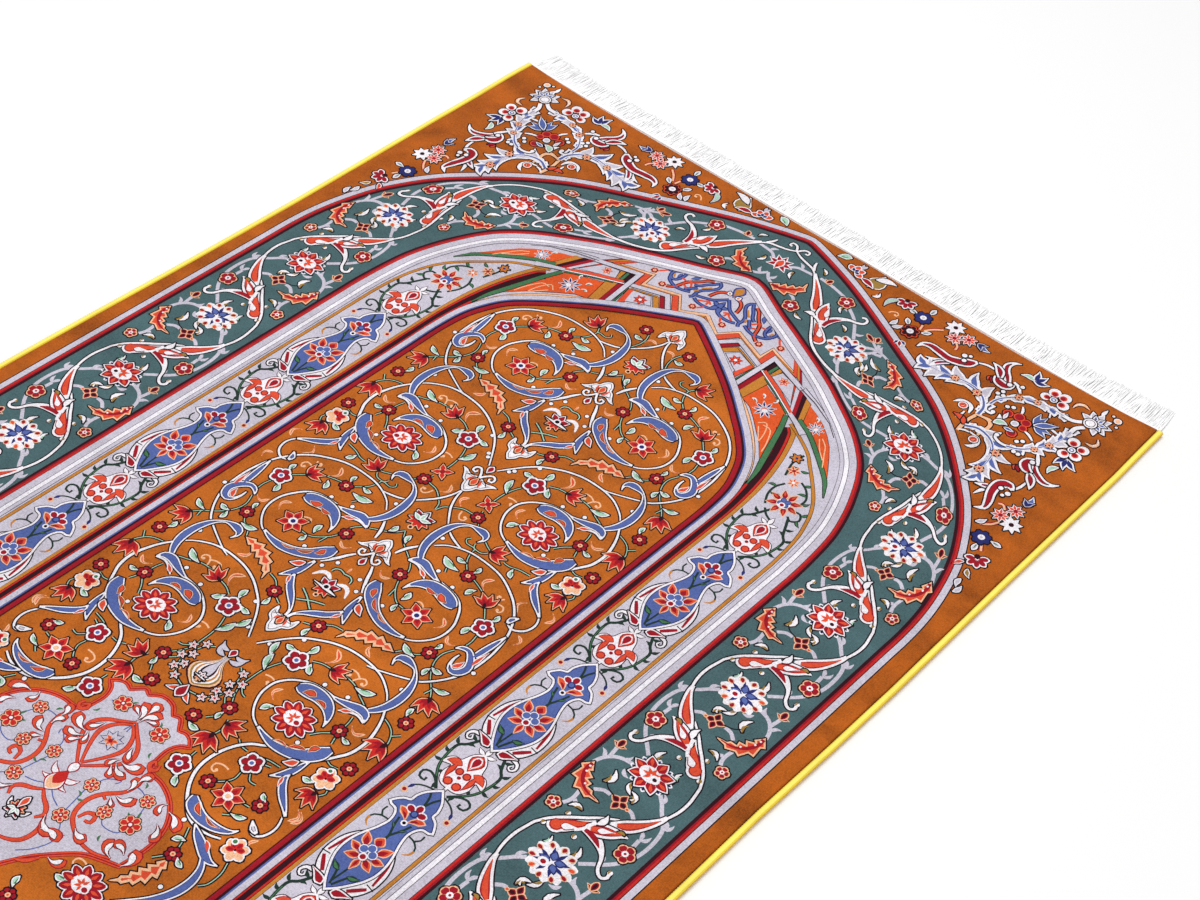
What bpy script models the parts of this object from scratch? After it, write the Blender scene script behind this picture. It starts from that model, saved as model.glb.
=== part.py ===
"""Prayer rug with a short cut pile, lying flat: the pile cloth, a bound cord down each side and a fringe
at each end.

Metres, +Z up. The origin is under the middle of the rug's box, on the surface that it lies on. +Y runs
towards the head of the rug, where the point of the niche is, and +X to its right. The pieces are shaped
round the middle of the plain rectangle first, and then moved together.
"""

import math

import bmesh
import bpy

# Driving dimensions
RUG_WIDTH = 0.700  # over both side cords
PILE_LENGTH = 1.200  # pile cloth from head to foot
RUG_THICKNESS = 0.0050  # backing and pile
PILE_ROUND = 0.0016  # how far the pile's edge falls back
ROUND_STEPS = 3  # rows of faces in that rounded edge

CORD_WIDTH = 0.0058  # overcast cord along each side
CORD_HEIGHT = 0.0046
CORD_ROUND_STEPS = 6  # faces over a cord's round back
PIECE_GAP = 0.0003  # between pieces that touch

FRINGE_LENGTH = 0.0330  # from the pile's end to the tips
STRIP_WIDTH = 0.0050  # woven strip that holds the roots
STRIP_HEIGHT = 0.0026
STRANDS_PER_END = 130
STRAND_SHARE = 0.66  # of the spacing of strands, the rest is the gap between two
TIP_SHARE = 0.72  # tip width over root width
TIP_HEIGHT = 0.0012
STRAND_SWAY = 0.0009  # most that a tip drifts to one side
TIP_UNEVEN = 0.0016  # most that a strand is longer or shorter

# How the outline strays from a rectangle, in metres outwards, by the distance down from the head
SIDE_ROWS = (
    # down,  left,    right
    (0.000, 0.0030, -0.0024),
    (0.030, 0.0032, -0.0018),
    (0.070, 0.0020, -0.0006),
    (0.130, 0.0014, -0.0004),
    (0.220, -0.0002, -0.0002),
    (0.300, -0.0014, 0.0006),
    (0.370, -0.0014, 0.0014),
    (0.440, -0.0010, 0.0010),
    (0.520, 0.0004, -0.0002),
    (0.600, 0.0010, 0.0006),
    (0.720, 0.0006, 0.0012),
    (0.850, -0.0004, 0.0006),
    (0.980, 0.0002, -0.0004),
    (1.100, 0.0010, 0.0004),
    (1.170, 0.0018, 0.0012),
    (1.200, 0.0022, 0.0014),
)

# The same for the two ends, by the place across from left to right
END_COLUMNS = (
    # across, head,    foot
    (-0.350, 0.0040, 0.0024),
    (-0.325, 0.0018, 0.0010),
    (-0.280, 0.0000, 0.0000),
    (-0.200, -0.0006, 0.0004),
    (-0.100, 0.0002, -0.0006),
    (0.000, -0.0006, 0.0002),
    (0.050, 0.0006, 0.0006),
    (0.130, -0.0008, 0.0000),
    (0.210, -0.0010, -0.0008),
    (0.275, 0.0004, 0.0002),
    (0.315, 0.0026, 0.0014),
    (0.350, 0.0062, 0.0030),
)


def clear_scene():
    for thing in list(bpy.data.objects):
        bpy.data.objects.remove(thing)


def between_rows(table, place, column):
    """A table's column at a place, on the straight line from row to row."""
    if place <= table[0][0]:
        return table[0][column]
    for low, high in zip(table, table[1:]):
        if place <= high[0]:
            share = (place - low[0]) / (high[0] - low[0])
            return low[column] + (high[column] - low[column]) * share
    return table[-1][column]


def end_line(across, head):
    """y of the pile's end at a place across, at the head or the foot."""
    if head:
        return PILE_LENGTH / 2 + between_rows(END_COLUMNS, across, 1)
    return -PILE_LENGTH / 2 - between_rows(END_COLUMNS, across, 2)


def side_line(down, right):
    """x of the rug's outer side at a distance down from the head."""
    if right:
        return RUG_WIDTH / 2 + between_rows(SIDE_ROWS, down, 2)
    return -RUG_WIDTH / 2 - between_rows(SIDE_ROWS, down, 1)


def side_y(x, down):
    """y at a place across and a distance down, stretched between the uneven ends."""
    head = end_line(x, True)
    foot = end_line(x, False)
    return head + (foot - head) * down / PILE_LENGTH


def fabric_material(name, colour, roughness):
    material = bpy.data.materials.new(name)
    material.use_nodes = True
    shader = material.node_tree.nodes["Principled BSDF"]
    shader.inputs["Base Color"].default_value = (*colour, 1.0)
    shader.inputs["Roughness"].default_value = roughness
    shader.inputs["Metallic"].default_value = 0.0
    return material


def object_from(name, mesh_builder, material):
    bmesh.ops.recalc_face_normals(mesh_builder, faces=mesh_builder.faces)
    mesh = bpy.data.meshes.new(name)
    mesh_builder.to_mesh(mesh)
    mesh_builder.free()
    mesh.materials.append(material)
    thing = bpy.data.objects.new(name, mesh)
    bpy.context.collection.objects.link(thing)
    return thing


def cloth_outline(back):
    """The cloth's plan once round from the head's left corner, drawn in by back all round."""
    inset = CORD_WIDTH + PIECE_GAP + back

    def end_points(head):
        down = 0.0 if head else PILE_LENGTH
        left = side_line(down, False) + inset
        right = side_line(down, True) - inset
        inner = [row[0] for row in END_COLUMNS if left < row[0] < right]
        drawn_in = -back if head else back
        return [(x, end_line(x, head) + drawn_in) for x in [left] + inner + [right]]

    def side_points(right):
        toward_middle = -inset if right else inset
        points = []
        for row in SIDE_ROWS[1:-1]:
            x = side_line(row[0], right) + toward_middle
            points.append((x, side_y(x, row[0])))
        return points

    return end_points(True) + side_points(True) + end_points(False)[::-1] + side_points(False)[::-1]


def rug_body(material):
    """The pile cloth: a flat slab with the rug's own outline and a rounded upper edge."""
    builder = bmesh.new()
    levels = [(0.0, 0.0)]
    for step in range(ROUND_STEPS + 1):
        angle = math.pi / 2 * step / ROUND_STEPS
        back = PILE_ROUND * (1.0 - math.cos(angle))
        height = RUG_THICKNESS - PILE_ROUND * (1.0 - math.sin(angle))
        levels.append((back, height))
    loops = []
    for back, height in levels:
        loops.append([builder.verts.new((x, y, height)) for x, y in cloth_outline(back)])
    for lower, upper in zip(loops, loops[1:]):
        for index in range(len(lower)):
            following = (index + 1) % len(lower)
            builder.faces.new((lower[index], lower[following], upper[following], upper[index]))
    builder.faces.new(loops[-1])
    builder.faces.new(list(reversed(loops[0])))
    return object_from("rug_body", builder, material)


def side_cord(name, right, material):
    """The overcast cord along one side: flat under, round over, following the rug's side."""
    builder = bmesh.new()
    toward_rug = -1.0 if right else 1.0
    rings = []
    for row in SIDE_ROWS:
        down = row[0]
        middle = side_line(down, right) + toward_rug * CORD_WIDTH / 2
        y = side_y(middle, down)
        ring = []
        for step in range(CORD_ROUND_STEPS + 1):
            angle = math.pi * step / CORD_ROUND_STEPS
            x = middle + CORD_WIDTH / 2 * math.cos(angle)
            ring.append(builder.verts.new((x, y, CORD_HEIGHT * math.sin(angle))))
        rings.append(ring)
    for first, second in zip(rings, rings[1:]):
        for index in range(len(first)):
            following = (index + 1) % len(first)
            builder.faces.new((first[index], first[following], second[following], second[index]))
    builder.faces.new(rings[0])
    builder.faces.new(list(reversed(rings[-1])))
    return object_from(name, builder, material)


def strand_drift(index):
    """Sideways drift of a strand's tip and its change of length, both from -1 to 1."""
    drift = 0.55 * math.sin(index * 0.37) + 0.45 * math.sin(index * 1.93 + 0.6)
    change = 0.5 * math.sin(index * 0.21 + 1.0) + 0.5 * math.sin(index * 2.39)
    return drift, change


def fringe(name, head, material):
    """One end's fringe: a narrow strip with its strands grown from it, all in one body, flat on the floor."""
    outwards = 1.0 if head else -1.0
    builder = bmesh.new()
    left = side_line(0.0 if head else PILE_LENGTH, False) + CORD_WIDTH / 2
    right = side_line(0.0 if head else PILE_LENGTH, True) - CORD_WIDTH / 2
    pitch = (right - left) / STRANDS_PER_END
    strand_width = pitch * STRAND_SHARE

    def place(x, from_pile, height):
        y = end_line(x, head) + outwards * from_pile
        return builder.verts.new((x, y, height))

    def column(x, from_pile, height):
        return place(x, from_pile, 0.0), place(x, from_pile, height)

    def side_wall(first, second):
        builder.faces.new((first[0], second[0], second[1], first[1]))

    def cover(first_left, first_right, second_left, second_right):
        builder.faces.new((first_left[1], first_right[1], second_right[1], second_left[1]))
        builder.faces.new((first_left[0], second_left[0], second_right[0], first_right[0]))

    back_left = column(left, PIECE_GAP, STRIP_HEIGHT)
    front_left = column(left, STRIP_WIDTH, STRIP_HEIGHT)
    side_wall(back_left, front_left)
    for index in range(STRANDS_PER_END):
        middle = left + pitch * (index + 0.5)
        drift, change = strand_drift(index)
        root_x = (middle - strand_width / 2, middle + strand_width / 2)
        backs = [column(x, PIECE_GAP, STRIP_HEIGHT) for x in root_x]
        roots = [column(x, STRIP_WIDTH, STRIP_HEIGHT) for x in root_x]
        cover(back_left, backs[0], front_left, roots[0])
        side_wall(backs[0], back_left)
        side_wall(front_left, roots[0])
        cover(backs[0], backs[1], roots[0], roots[1])
        side_wall(backs[1], backs[0])

        tip_x = middle + drift * STRAND_SWAY
        half_tip = strand_width * TIP_SHARE / 2
        reach = FRINGE_LENGTH + change * TIP_UNEVEN
        tips = [column(tip_x + side * half_tip, reach, TIP_HEIGHT) for side in (-1.0, 1.0)]
        cover(roots[0], roots[1], tips[0], tips[1])
        side_wall(roots[0], tips[0])
        side_wall(tips[0], tips[1])
        side_wall(tips[1], roots[1])
        back_left, front_left = backs[1], roots[1]

    back_end = column(right, PIECE_GAP, STRIP_HEIGHT)
    front_end = column(right, STRIP_WIDTH, STRIP_HEIGHT)
    cover(back_left, back_end, front_left, front_end)
    side_wall(back_end, back_left)
    side_wall(front_left, front_end)
    side_wall(front_end, back_end)
    return object_from(name, builder, material)


def stand_in_the_middle(pieces):
    """Hangs the pieces on one empty, placed so that the origin is under the middle of their box."""
    points = [vertex.co for piece in pieces for vertex in piece.data.vertices]
    middle_x = (min(point.x for point in points) + max(point.x for point in points)) / 2
    middle_y = (min(point.y for point in points) + max(point.y for point in points)) / 2
    rug = bpy.data.objects.new("prayer_rug", None)
    bpy.context.collection.objects.link(rug)
    for piece in pieces:
        piece.parent = rug
    rug.location = (-middle_x, -middle_y, 0.0)


def build():
    clear_scene()
    pile = fabric_material("saffron_pile", (0.50, 0.17, 0.03), 0.85)
    overcast = fabric_material("yellow_overcast", (0.85, 0.62, 0.06), 0.65)
    white_yarn = fabric_material("white_fringe_yarn", (0.86, 0.86, 0.87), 0.80)
    pieces = [
        rug_body(pile),
        side_cord("selvedge_left", False, overcast),
        side_cord("selvedge_right", True, overcast),
        fringe("fringe_head", True, white_yarn),
        fringe("fringe_foot", False, white_yarn),
    ]
    stand_in_the_middle(pieces)


build()
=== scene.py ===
"""Looks of a prayer rug: a short cut pile in a traditional niche design, bound sides and white fringes.

Metres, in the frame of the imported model: +X to the rug's right, +Y towards its head, +Z up out of the pile.
The design is drawn from petals, leaves, vines and stripes. Charts say where they stand: those of the frame
in rug widths, all others in thousandths of them. It mirrors about the rug's long middle line, and each dye of
the pile is one mesh.
"""

import math
from contextlib import contextmanager

import bpy
import numpy as np
from mathutils import Matrix, Vector


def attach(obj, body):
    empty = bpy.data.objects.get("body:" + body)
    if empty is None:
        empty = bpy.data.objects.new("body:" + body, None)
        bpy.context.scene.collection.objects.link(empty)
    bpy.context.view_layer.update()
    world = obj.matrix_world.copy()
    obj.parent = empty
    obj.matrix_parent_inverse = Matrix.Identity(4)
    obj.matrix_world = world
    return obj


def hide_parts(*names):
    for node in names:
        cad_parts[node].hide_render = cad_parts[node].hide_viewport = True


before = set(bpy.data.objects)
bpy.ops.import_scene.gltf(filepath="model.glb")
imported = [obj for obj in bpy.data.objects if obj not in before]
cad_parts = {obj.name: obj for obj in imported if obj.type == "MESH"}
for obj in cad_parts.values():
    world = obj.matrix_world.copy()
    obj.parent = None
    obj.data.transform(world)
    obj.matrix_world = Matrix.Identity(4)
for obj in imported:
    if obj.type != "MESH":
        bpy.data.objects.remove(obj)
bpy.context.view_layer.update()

# ---------------------------------------------------------------- sizes taken from the frame

RUG_WIDTH = 0.700  # over both side cords: the unit of the charts
MIDDLE_X = 0.0009  # where the design's middle line lies
CLOTH = np.array([vertex.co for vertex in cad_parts["rug_body"].data.vertices])
HEAD_Y = CLOTH[np.abs(CLOTH[:, 0]) < 0.12][:, 1].max()  # head edge of the pile near its middle
CLOTH_TOP = CLOTH[:, 2].max()

# ---------------------------------------------------------------- drawing kit

INK_EDGE = 0.0015  # width of the dark line that is woven round a shape
RIM = 0.0016  # width of a light rim inside a shape
CURVE_STEP = 0.0042  # spacing of points along a curve
LEAST_WIDTH = 0.0003

# Half widths along a shape, from its root to its tip
PETAL = (0.25, 0.70, 0.97, 1.00, 0.80, 0.20)
POINTED = (0.20, 0.72, 1.00, 0.80, 0.42, 0.0)
SPEAR = (0.0, 0.45, 0.80, 1.00, 0.75, 0.0)
COMMA = (0.0, 0.28, 0.52, 0.76, 0.98, 0.94, 0.0)
BLADE = (0.10, 0.75, 1.00, 0.85, 0.50, 0.0)


def smooth(rows, step):
    """Points on a smooth curve through the rows, about a step apart; further columns are eased alike."""
    rows = np.array(rows, float)
    if len(rows) < 3:
        count = max(1, int(np.ceil(np.linalg.norm(rows[-1, :2] - rows[0, :2]) / step)))
        share = np.linspace(0.0, 1.0, count + 1)[:, None]
        return rows[0] * (1.0 - share) + rows[-1] * share
    padded = np.vstack([2 * rows[0] - rows[1], rows, 2 * rows[-1] - rows[-2]])
    curve = []
    for before, start, end, after in zip(padded, padded[1:], padded[2:], padded[3:]):
        count = max(1, int(np.ceil(np.linalg.norm(end[:2] - start[:2]) / step)))
        t = (np.arange(count) / count)[:, None]
        curve.append(
            0.5 * (2 * start + (end - before) * t + (2 * before - 5 * start + 4 * end - after) * t**2
                   + (3 * start - before - 3 * end + after) * t**3)
        )
    curve.append(rows[-1:])
    return np.vstack(curve)


def sideways(points):
    """Unit vectors to the right of a line, seen from above with v downwards, and along it."""
    along = np.gradient(points, axis=0)
    along /= np.maximum(np.linalg.norm(along, axis=1), 1e-9)[:, None]
    return np.stack([-along[:, 1], along[:, 0]], axis=1), along


def profile(shape, count):
    """A tuple of half widths, eased over a number of points."""
    places = np.linspace(0.0, 1.0, len(shape))
    rows = smooth(np.stack([places * 10.0, shape], axis=1), 0.25)
    return np.clip(np.interp(np.linspace(0.0, 10.0, count), rows[:, 0], rows[:, 1]), 0.0, None)


def heading(turn):
    """Direction of growth: 0 towards the head, 90 to the right."""
    angle = math.radians(turn)
    return np.array([math.sin(angle), -math.cos(angle)])


def cross(first, second):
    """The cross product of plane vectors."""
    return first[..., 0] * second[..., 1] - first[..., 1] * second[..., 0]


def untangled(outline):
    """A closed outline without the small loops in which it crosses itself."""
    while len(outline) > 4:
        count = len(outline)
        along = np.roll(outline, -1, axis=0) - outline
        apart = outline[None, :] - outline[:, None]
        steepness = cross(along[:, None], along[None, :])
        steepness[np.abs(steepness) < 1e-18] = np.inf
        first = cross(apart, along[None, :]) / steepness
        second = cross(apart, along[:, None]) / steepness
        met = np.triu((first > 0) & (first < 1) & (second > 0) & (second < 1), 1)
        if not met.any():
            break
        pairs = np.argwhere(met)
        sizes = np.minimum(pairs[:, 1] - pairs[:, 0], count - pairs[:, 1] + pairs[:, 0])
        start, end = pairs[np.argmin(sizes)]
        meeting = outline[start] + along[start] * first[start, end]
        inner, outer = outline[start + 1:end + 1], np.vstack([outline[end + 1:], outline[:start + 1]])
        outline = np.vstack([[meeting], inner if len(inner) > len(outer) else outer])
    return outline


def inset(outline, distance):
    """A closed outline moved inwards at every corner, or outwards by a distance under nothing. Where it is
    too narrow for that, its two sides stay apart."""
    following = np.roll(outline, -1, axis=0)
    turn = np.sign(cross(outline, following).sum())
    before = outline - np.roll(outline, 1, axis=0)
    after = following - outline
    edges = after.copy()
    before /= np.maximum(np.linalg.norm(before, axis=1), 1e-9)[:, None]
    after /= np.maximum(np.linalg.norm(after, axis=1), 1e-9)[:, None]
    both = np.stack([-before[:, 1] - after[:, 1], before[:, 0] + after[:, 0]], axis=1)
    spread = np.maximum(1.0 + np.sum(before * after, axis=1), 0.6)
    way = both * (turn / spread)[:, None]
    if distance <= 0:
        return outline + way * distance
    apart = outline[None, :] - outline[:, None]
    steepness = cross(way[:, None], edges[None, :])
    steepness[np.abs(steepness) < 1e-12] = 1e-12
    reach = cross(apart, edges[None, :]) / steepness
    share = cross(apart, way[:, None]) / steepness
    blocked = (reach > 1e-7) & (share >= -0.01) & (share <= 1.01)
    room = np.where(blocked, reach, np.inf).min(axis=1)
    return outline + way * np.minimum(distance, 0.42 * room)[:, None]


class Chart:
    """The rug's pattern, collected shape by shape. Places are in rug widths: u to the right of the middle
    line, v down from the head. A motif is drawn round its own root inside placed()."""

    def __init__(self):
        self.fills = []
        self.bands = []
        self.places = []
        self.scale = 1.0
        self.mirrored = True
        self.lift = 0

    @contextmanager
    def placed(self, u, v, size=1.0, turn=0.0, flip=False, stretch=(1.0, 1.0), lift=0):
        """Draws at a place: size and turn of the motif, flip for its mirror image."""
        angle = math.radians(turn)
        across = np.array([math.cos(angle), math.sin(angle)]) * size * stretch[0] * (-1.0 if flip else 1.0)
        down = np.array([-math.sin(angle), math.cos(angle)]) * size * stretch[1]
        with self.warped(lambda p: np.array([u, v]) + p[:, :1] * across + p[:, 1:] * down, size, lift):
            yield

    @contextmanager
    def warped(self, place, size=1.0, lift=0):
        """Draws through a function that moves the motif's points to where they belong."""
        self.places.append(place)
        self.scale *= size
        self.lift += lift
        yield
        self.lift -= lift
        self.scale /= size
        self.places.pop()

    @contextmanager
    def once(self):
        """For what stands on the middle line: no mirror image."""
        kept = self.mirrored
        self.mirrored = False
        yield
        self.mirrored = kept

    def to_rug(self, points):
        """Points of the innermost place in rug widths."""
        for place in reversed(self.places):
            points = place(points)
        return points

    def own(self, real_size):
        """A size on the rug in the units of the motif that is being drawn."""
        return real_size / self.scale

    def fill(self, dye, points, level):
        """A filled outline."""
        outline = untangled(self.to_rug(np.array(points, float)))
        self.fills.append((dye, outline, level + self.lift, self.mirrored))

    def patch(self, layers, outline, level):
        """Fills one in another: each layer is a dye and how far it lies inside the outline."""
        for place, (dye, distance) in enumerate(layers):
            self.fill(dye, inset(np.array(outline, float), self.own(distance)), level + place)

    def crest(self, layers, half, level, step=0.0030):
        """A patch that is the same on both hands, from the points of its right half, tip to root."""
        right = smooth(half, self.own(step))
        self.patch(layers, np.vstack([right, right[::-1][1:-1] * [-1.0, 1.0]]), level)

    def thousandths(self, lift=0):
        """Places are given in thousandths of the rug's width."""
        return self.placed(0.0, 0.0, 0.001, lift=lift)

    def band(self, dye, left, right, level, crown=0.0):
        """A strip between two lines of points, raised along its middle by crown."""
        left = self.to_rug(np.array(left, float))
        right = self.to_rug(np.array(right, float))
        self.bands.append((dye, left, right, level + self.lift, crown, self.mirrored))

    def ribbon(self, dye, rows, level, grow=0.0, crown=0.0, open_ended=False):
        """A band along points of u, v and width, grown on both sides, and at both ends too unless open."""
        rows = np.array(rows, float)
        points = rows[:, :2].copy()
        side, along = sideways(points)
        grow = self.own(grow)
        half = np.maximum(rows[:, 2] / 2 + grow, self.own(LEAST_WIDTH))[:, None]
        if not open_ended:
            points[0] -= along[0] * grow
            points[-1] += along[-1] * grow
        self.band(dye, points - side * half, points + side * half, level, crown)

    def line(self, dye, rows, level, width=None, edge=None, grow=0.0):
        """A line through a few points, with an edge line of another dye under it."""
        rows = np.array(rows, float)
        if width is not None:
            widths = np.interp(np.linspace(0, 1, len(rows)), np.linspace(0, 1, np.size(width)),
                               np.ravel(width))
            rows = np.column_stack([rows[:, :2], widths])
        curve = smooth(rows, self.own(CURVE_STEP))
        curve[:, 2] = np.maximum(curve[:, 2], 0.0)
        if edge:
            self.ribbon(edge, curve, level, INK_EDGE + grow, open_ended=True)
        self.ribbon(dye, curve, level + 1, grow)

    def leaf(self, dyes, u, v, turn, length, width, level, bend=0.0, shape=PETAL, rim=RIM, count=7):
        """A petal or leaf from its root at u, v: the dyes go from the outside in, each one rim further in.
        A first dye of ink is drawn as a thin line round the rest."""
        grown = heading(turn)
        right = np.array([-grown[1], grown[0]])
        share = np.linspace(0.0, 1.0, count)[:, None]
        curve = np.array([u, v]) + grown * length * share + right * length * bend * np.sin(np.pi * share)
        widths = profile(shape, count) * width
        inner = 0.0
        for place, dye in enumerate(dyes):
            if place == 0 and dye == "ink":
                self.ribbon(dye, np.column_stack([curve, widths]), level, INK_EDGE)
                continue
            shrink = self.own(inner)
            cut = min(shrink / length, 0.42)
            part = np.linspace(cut * 0.8, 1.0 - cut * 1.15, count)
            spread = np.linspace(0.0, 1.0, count)
            rows = np.column_stack([
                np.interp(part, spread, curve[:, 0]), np.interp(part, spread, curve[:, 1]),
                np.maximum(np.interp(part, spread, widths) - 2 * shrink, 0.0) if place else widths,
            ])
            self.ribbon(dye, rows, level + place)
            inner += rim

    def disc(self, dye, u, v, radius, level, stretch=1.0, count=9):
        """A round patch of a few corners."""
        angles = np.linspace(0.0, 2 * np.pi, count, endpoint=False) + 0.3
        points = np.stack([u + radius * np.cos(angles), v + radius * stretch * np.sin(angles)], axis=1)
        self.fill(dye, points, level)

    def dot(self, dyes, u, v, radius, level):
        """Discs one on another, each one rim smaller."""
        for place, dye in enumerate(dyes):
            self.disc(dye, u, v, max(radius - self.own(RIM) * place, radius * 0.25), level + place)

    def petals(self, dyes, count, inner, length, width, level, start=0.0, sweep=360.0, shape=PETAL, bend=0.0,
               rim=RIM):
        """Petals round the motif's middle, over a sweep of degrees."""
        closed = abs(sweep) >= 360.0
        steps = count if closed else max(count - 1, 1)
        for index in range(count):
            turn = start + sweep * index / steps - (0.0 if closed else sweep / 2)
            root = heading(turn) * inner
            self.leaf(dyes, root[0], root[1], turn, length, width, level, bend, shape, rim, 6)
# ---------------------------------------------------------------- flowers, buds and leaves


def small_flower(chart, u, v, radius, level=2, turn=0.0):
    """Six dark red petals round a pale eye."""
    with chart.placed(u, v, radius, turn):
        chart.petals(("ink", "crimson"), 6, 0.10, 0.90, 0.82, level)
        chart.petals(("maroon",), 6, 0.20, 0.60, 0.26, level + 2, 30.0, shape=POINTED)
        chart.disc("peach", 0.0, 0.0, 0.36, level + 3)
        chart.disc("coral", 0.0, 0.0, 0.17, level + 4, count=6)


def rimmed_flower(chart, u, v, radius, level=2, turn=0.0, heart="blue", edge="ink"):
    """Five round white petals, each with a red heart."""
    with chart.placed(u, v, radius, turn):
        chart.petals((edge, "ivory"), 5, 0.05, 0.95, 0.98, level)
        chart.petals(("maroon", "crimson"), 5, 0.16, 0.68, 0.66, level + 3, rim=0.0005)
        chart.disc("ivory", 0.0, 0.0, 0.30, level + 5)
        chart.disc(heart, 0.0, 0.0, 0.18, level + 6, count=7)


def border_flower(chart, u, v, radius, level=4, turn=0.0):
    """A red flower with pink rims, as the border vine carries."""
    with chart.placed(u, v, radius, turn):
        chart.petals(("ink", "peach", "crimson"), 5, 0.14, 0.86, 0.96, level, rim=0.0014)
        chart.disc("ivory", 0.0, 0.0, 0.32, level + 3)
        chart.disc("crimson", 0.0, 0.0, 0.14, level + 4, count=7)


def star_flower(chart, u, v, radius, level=2, turn=0.0, eye=("ivory", "navy")):
    """Six pointed coral petals with dark hearts."""
    with chart.placed(u, v, radius, turn):
        chart.petals(("ink", "peach", "red"), 6, 0.16, 0.86, 0.62, level, shape=POINTED, rim=0.0011)
        chart.petals(("crimson",), 6, 0.20, 0.46, 0.30, level + 3, shape=POINTED)
        chart.disc(eye[0], 0.0, 0.0, 0.31, level + 4)
        chart.disc(eye[1], 0.0, 0.0, 0.17, level + 5, count=8)


def spiky_flower(chart, u, v, radius, dyes, eye, level=2, turn=0.0, count=7):
    """A small star with many narrow petals."""
    with chart.placed(u, v, radius, turn):
        chart.petals(dyes, count, 0.12, 0.88, 0.52, level, shape=POINTED, rim=0.0011)
        chart.disc(eye, 0.0, 0.0, 0.24, level + 3, count=8)


def bud(chart, u, v, length, turn, dyes=("peach", "maroon"), level=4):
    """A closed bud of three petals."""
    with chart.placed(u, v, length, turn):
        for side in (-1, 1):
            chart.leaf(dyes, side * 0.08, 0.0, side * 32, 0.78, 0.46, level, side * 0.12, POINTED, 0.0011, 6)
        chart.leaf((dyes[0], "crimson"), 0.0, 0.0, 0.0, 1.0, 0.52, level + 2, 0.0, POINTED, 0.0012, 6)


def tulip(chart, u, v, length, turn, level=2, flip=False):
    """A red cup of a few pointed petals seen from its side."""
    with chart.placed(u, v, length, turn, flip):
        for petal_turn, reach, wide in ((-48, 0.90, 0.38), (46, 0.96, 0.40), (-16, 1.0, 0.46),
                                        (17, 0.96, 0.44)):
            chart.leaf(("ink", "peach", "red"), 0.0, 0.0, petal_turn, reach, wide, level, 0.06, POINTED,
                       0.0012)
            chart.leaf(("crimson",), 0.0, 0.0, petal_turn, reach * 0.56, wide * 0.46, level + 3, 0.06, BLADE,
                       RIM, 5)
        chart.leaf(("maroon",), 0.0, 0.10, 2.0, 0.36, 0.22, level + 4, 0.0, BLADE, count=5)


def mint_leaf(chart, u, v, length, turn, level=2, bend=0.12, wide=0.46, dyes=("ink", "ivory", "mint")):
    """A small pale leaf with a green middle."""
    chart.leaf(dyes, u, v, turn, length, length * wide, level, bend, SPEAR, 0.0013, 7)
    grown = heading(turn) * length
    vein = [(u + grown[0] * 0.28, v + grown[1] * 0.28), (u + grown[0] * 0.72, v + grown[1] * 0.72)]
    chart.line("green", vein, level + 2, width=(chart.own(0.0018), chart.own(0.0008)))


def curl_leaf(chart, u, v, length, turn, level=4, bend=0.30, dye="olive"):
    """A little hooked leaf, dark on its back."""
    chart.leaf(("ink", "ivory"), u, v, turn, length, length * 0.36, level, bend, BLADE, RIM, 6)
    chart.leaf((dye,), u, v, turn, length * 0.62, length * 0.20, level + 2, bend * 0.8, BLADE, RIM, 5)


def wisp(chart, u, v, length, turn, level=1, bend=0.38, dyes=("peach", "coral")):
    """A soft peach comma laid on the ground."""
    chart.leaf(dyes, u, v, turn, length, length * 0.26, level, bend, COMMA, 0.0015, 8)


def hook(chart, dye, u, v, size, turn, level, edge=None, flip=False, width=0.0016):
    """A thread that ends in a curl with a knob."""
    with chart.placed(u, v, size, turn, flip):
        rows = [(0.0, 0.0), (0.10, -0.45), (0.42, -0.80), (0.80, -0.66), (0.82, -0.34), (0.58, -0.28)]
        chart.line(dye, rows, level, width=chart.own(width), edge=edge)
        chart.disc(dye, 0.62, -0.36, chart.own(width) * 0.95, level + 2, count=8)


def feather(chart, rows, width, teeth, dyes, level, side=1.0, both=False, rim=0.0013):
    """A leaf along a few points with saw teeth on one side or both, which lean towards its tip."""
    curve = smooth(rows, chart.own(0.0015))
    right = sideways(curve)[0]
    share = np.linspace(0.0, 1.0, len(curve))
    body = profile(BLADE, len(curve)) * width * 0.62
    edges = []
    for hand in (side, -side):
        toothed = both or hand == side
        places = [(0.0, 0.3)]
        notch, tooth = (0.55, 1.15) if toothed else (0.5, 0.5)
        for index in range(teeth):
            places += [((index + 0.15) / teeth, notch), ((index + 0.92) / teeth, tooth)]
        at = np.array([min(place[0], 0.97) for place in places])
        out = np.array([place[1] for place in places]) * np.interp(at, share, body) * hand
        edge = [np.interp(at, share, curve[:, axis]) + out * np.interp(at, share, right[:, axis])
                for axis in (0, 1)]
        edges.append(np.stack(edge, axis=1))
    outline = np.vstack([edges[0], curve[-1:], edges[1][::-1]])
    layers = [("ink", -INK_EDGE)] if dyes[0] != "ink" else []
    for place, dye in enumerate(dyes):
        layers.append((dye, -INK_EDGE if dye == "ink" else rim * (place - (dyes[0] == "ink"))))
    chart.patch(layers, outline, level)


def great_flower(chart, u, v, turn=8.0):
    """The field's largest flower: ten broad red petals round a pale heart, seen a little from one side."""
    with chart.placed(u, v, 24, turn, stretch=(1.0, 0.86)):
        chart.petals(("ink", "ivory", "crimson"), 10, 0.22, 0.80, 0.50, 5, rim=0.0013)
        chart.petals(("coral",), 10, 0.44, 0.38, 0.16, 8, shape=POINTED)
        chart.disc("ivory", -0.06, 0.0, 0.44, 8, count=14)
        chart.petals(("coral",), 5, 0.05, 0.30, 0.14, 9, -90.0, 200.0, POINTED)
        chart.dot(("ivory", "crimson"), 0.24, 0.06, 0.20, 10)


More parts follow.
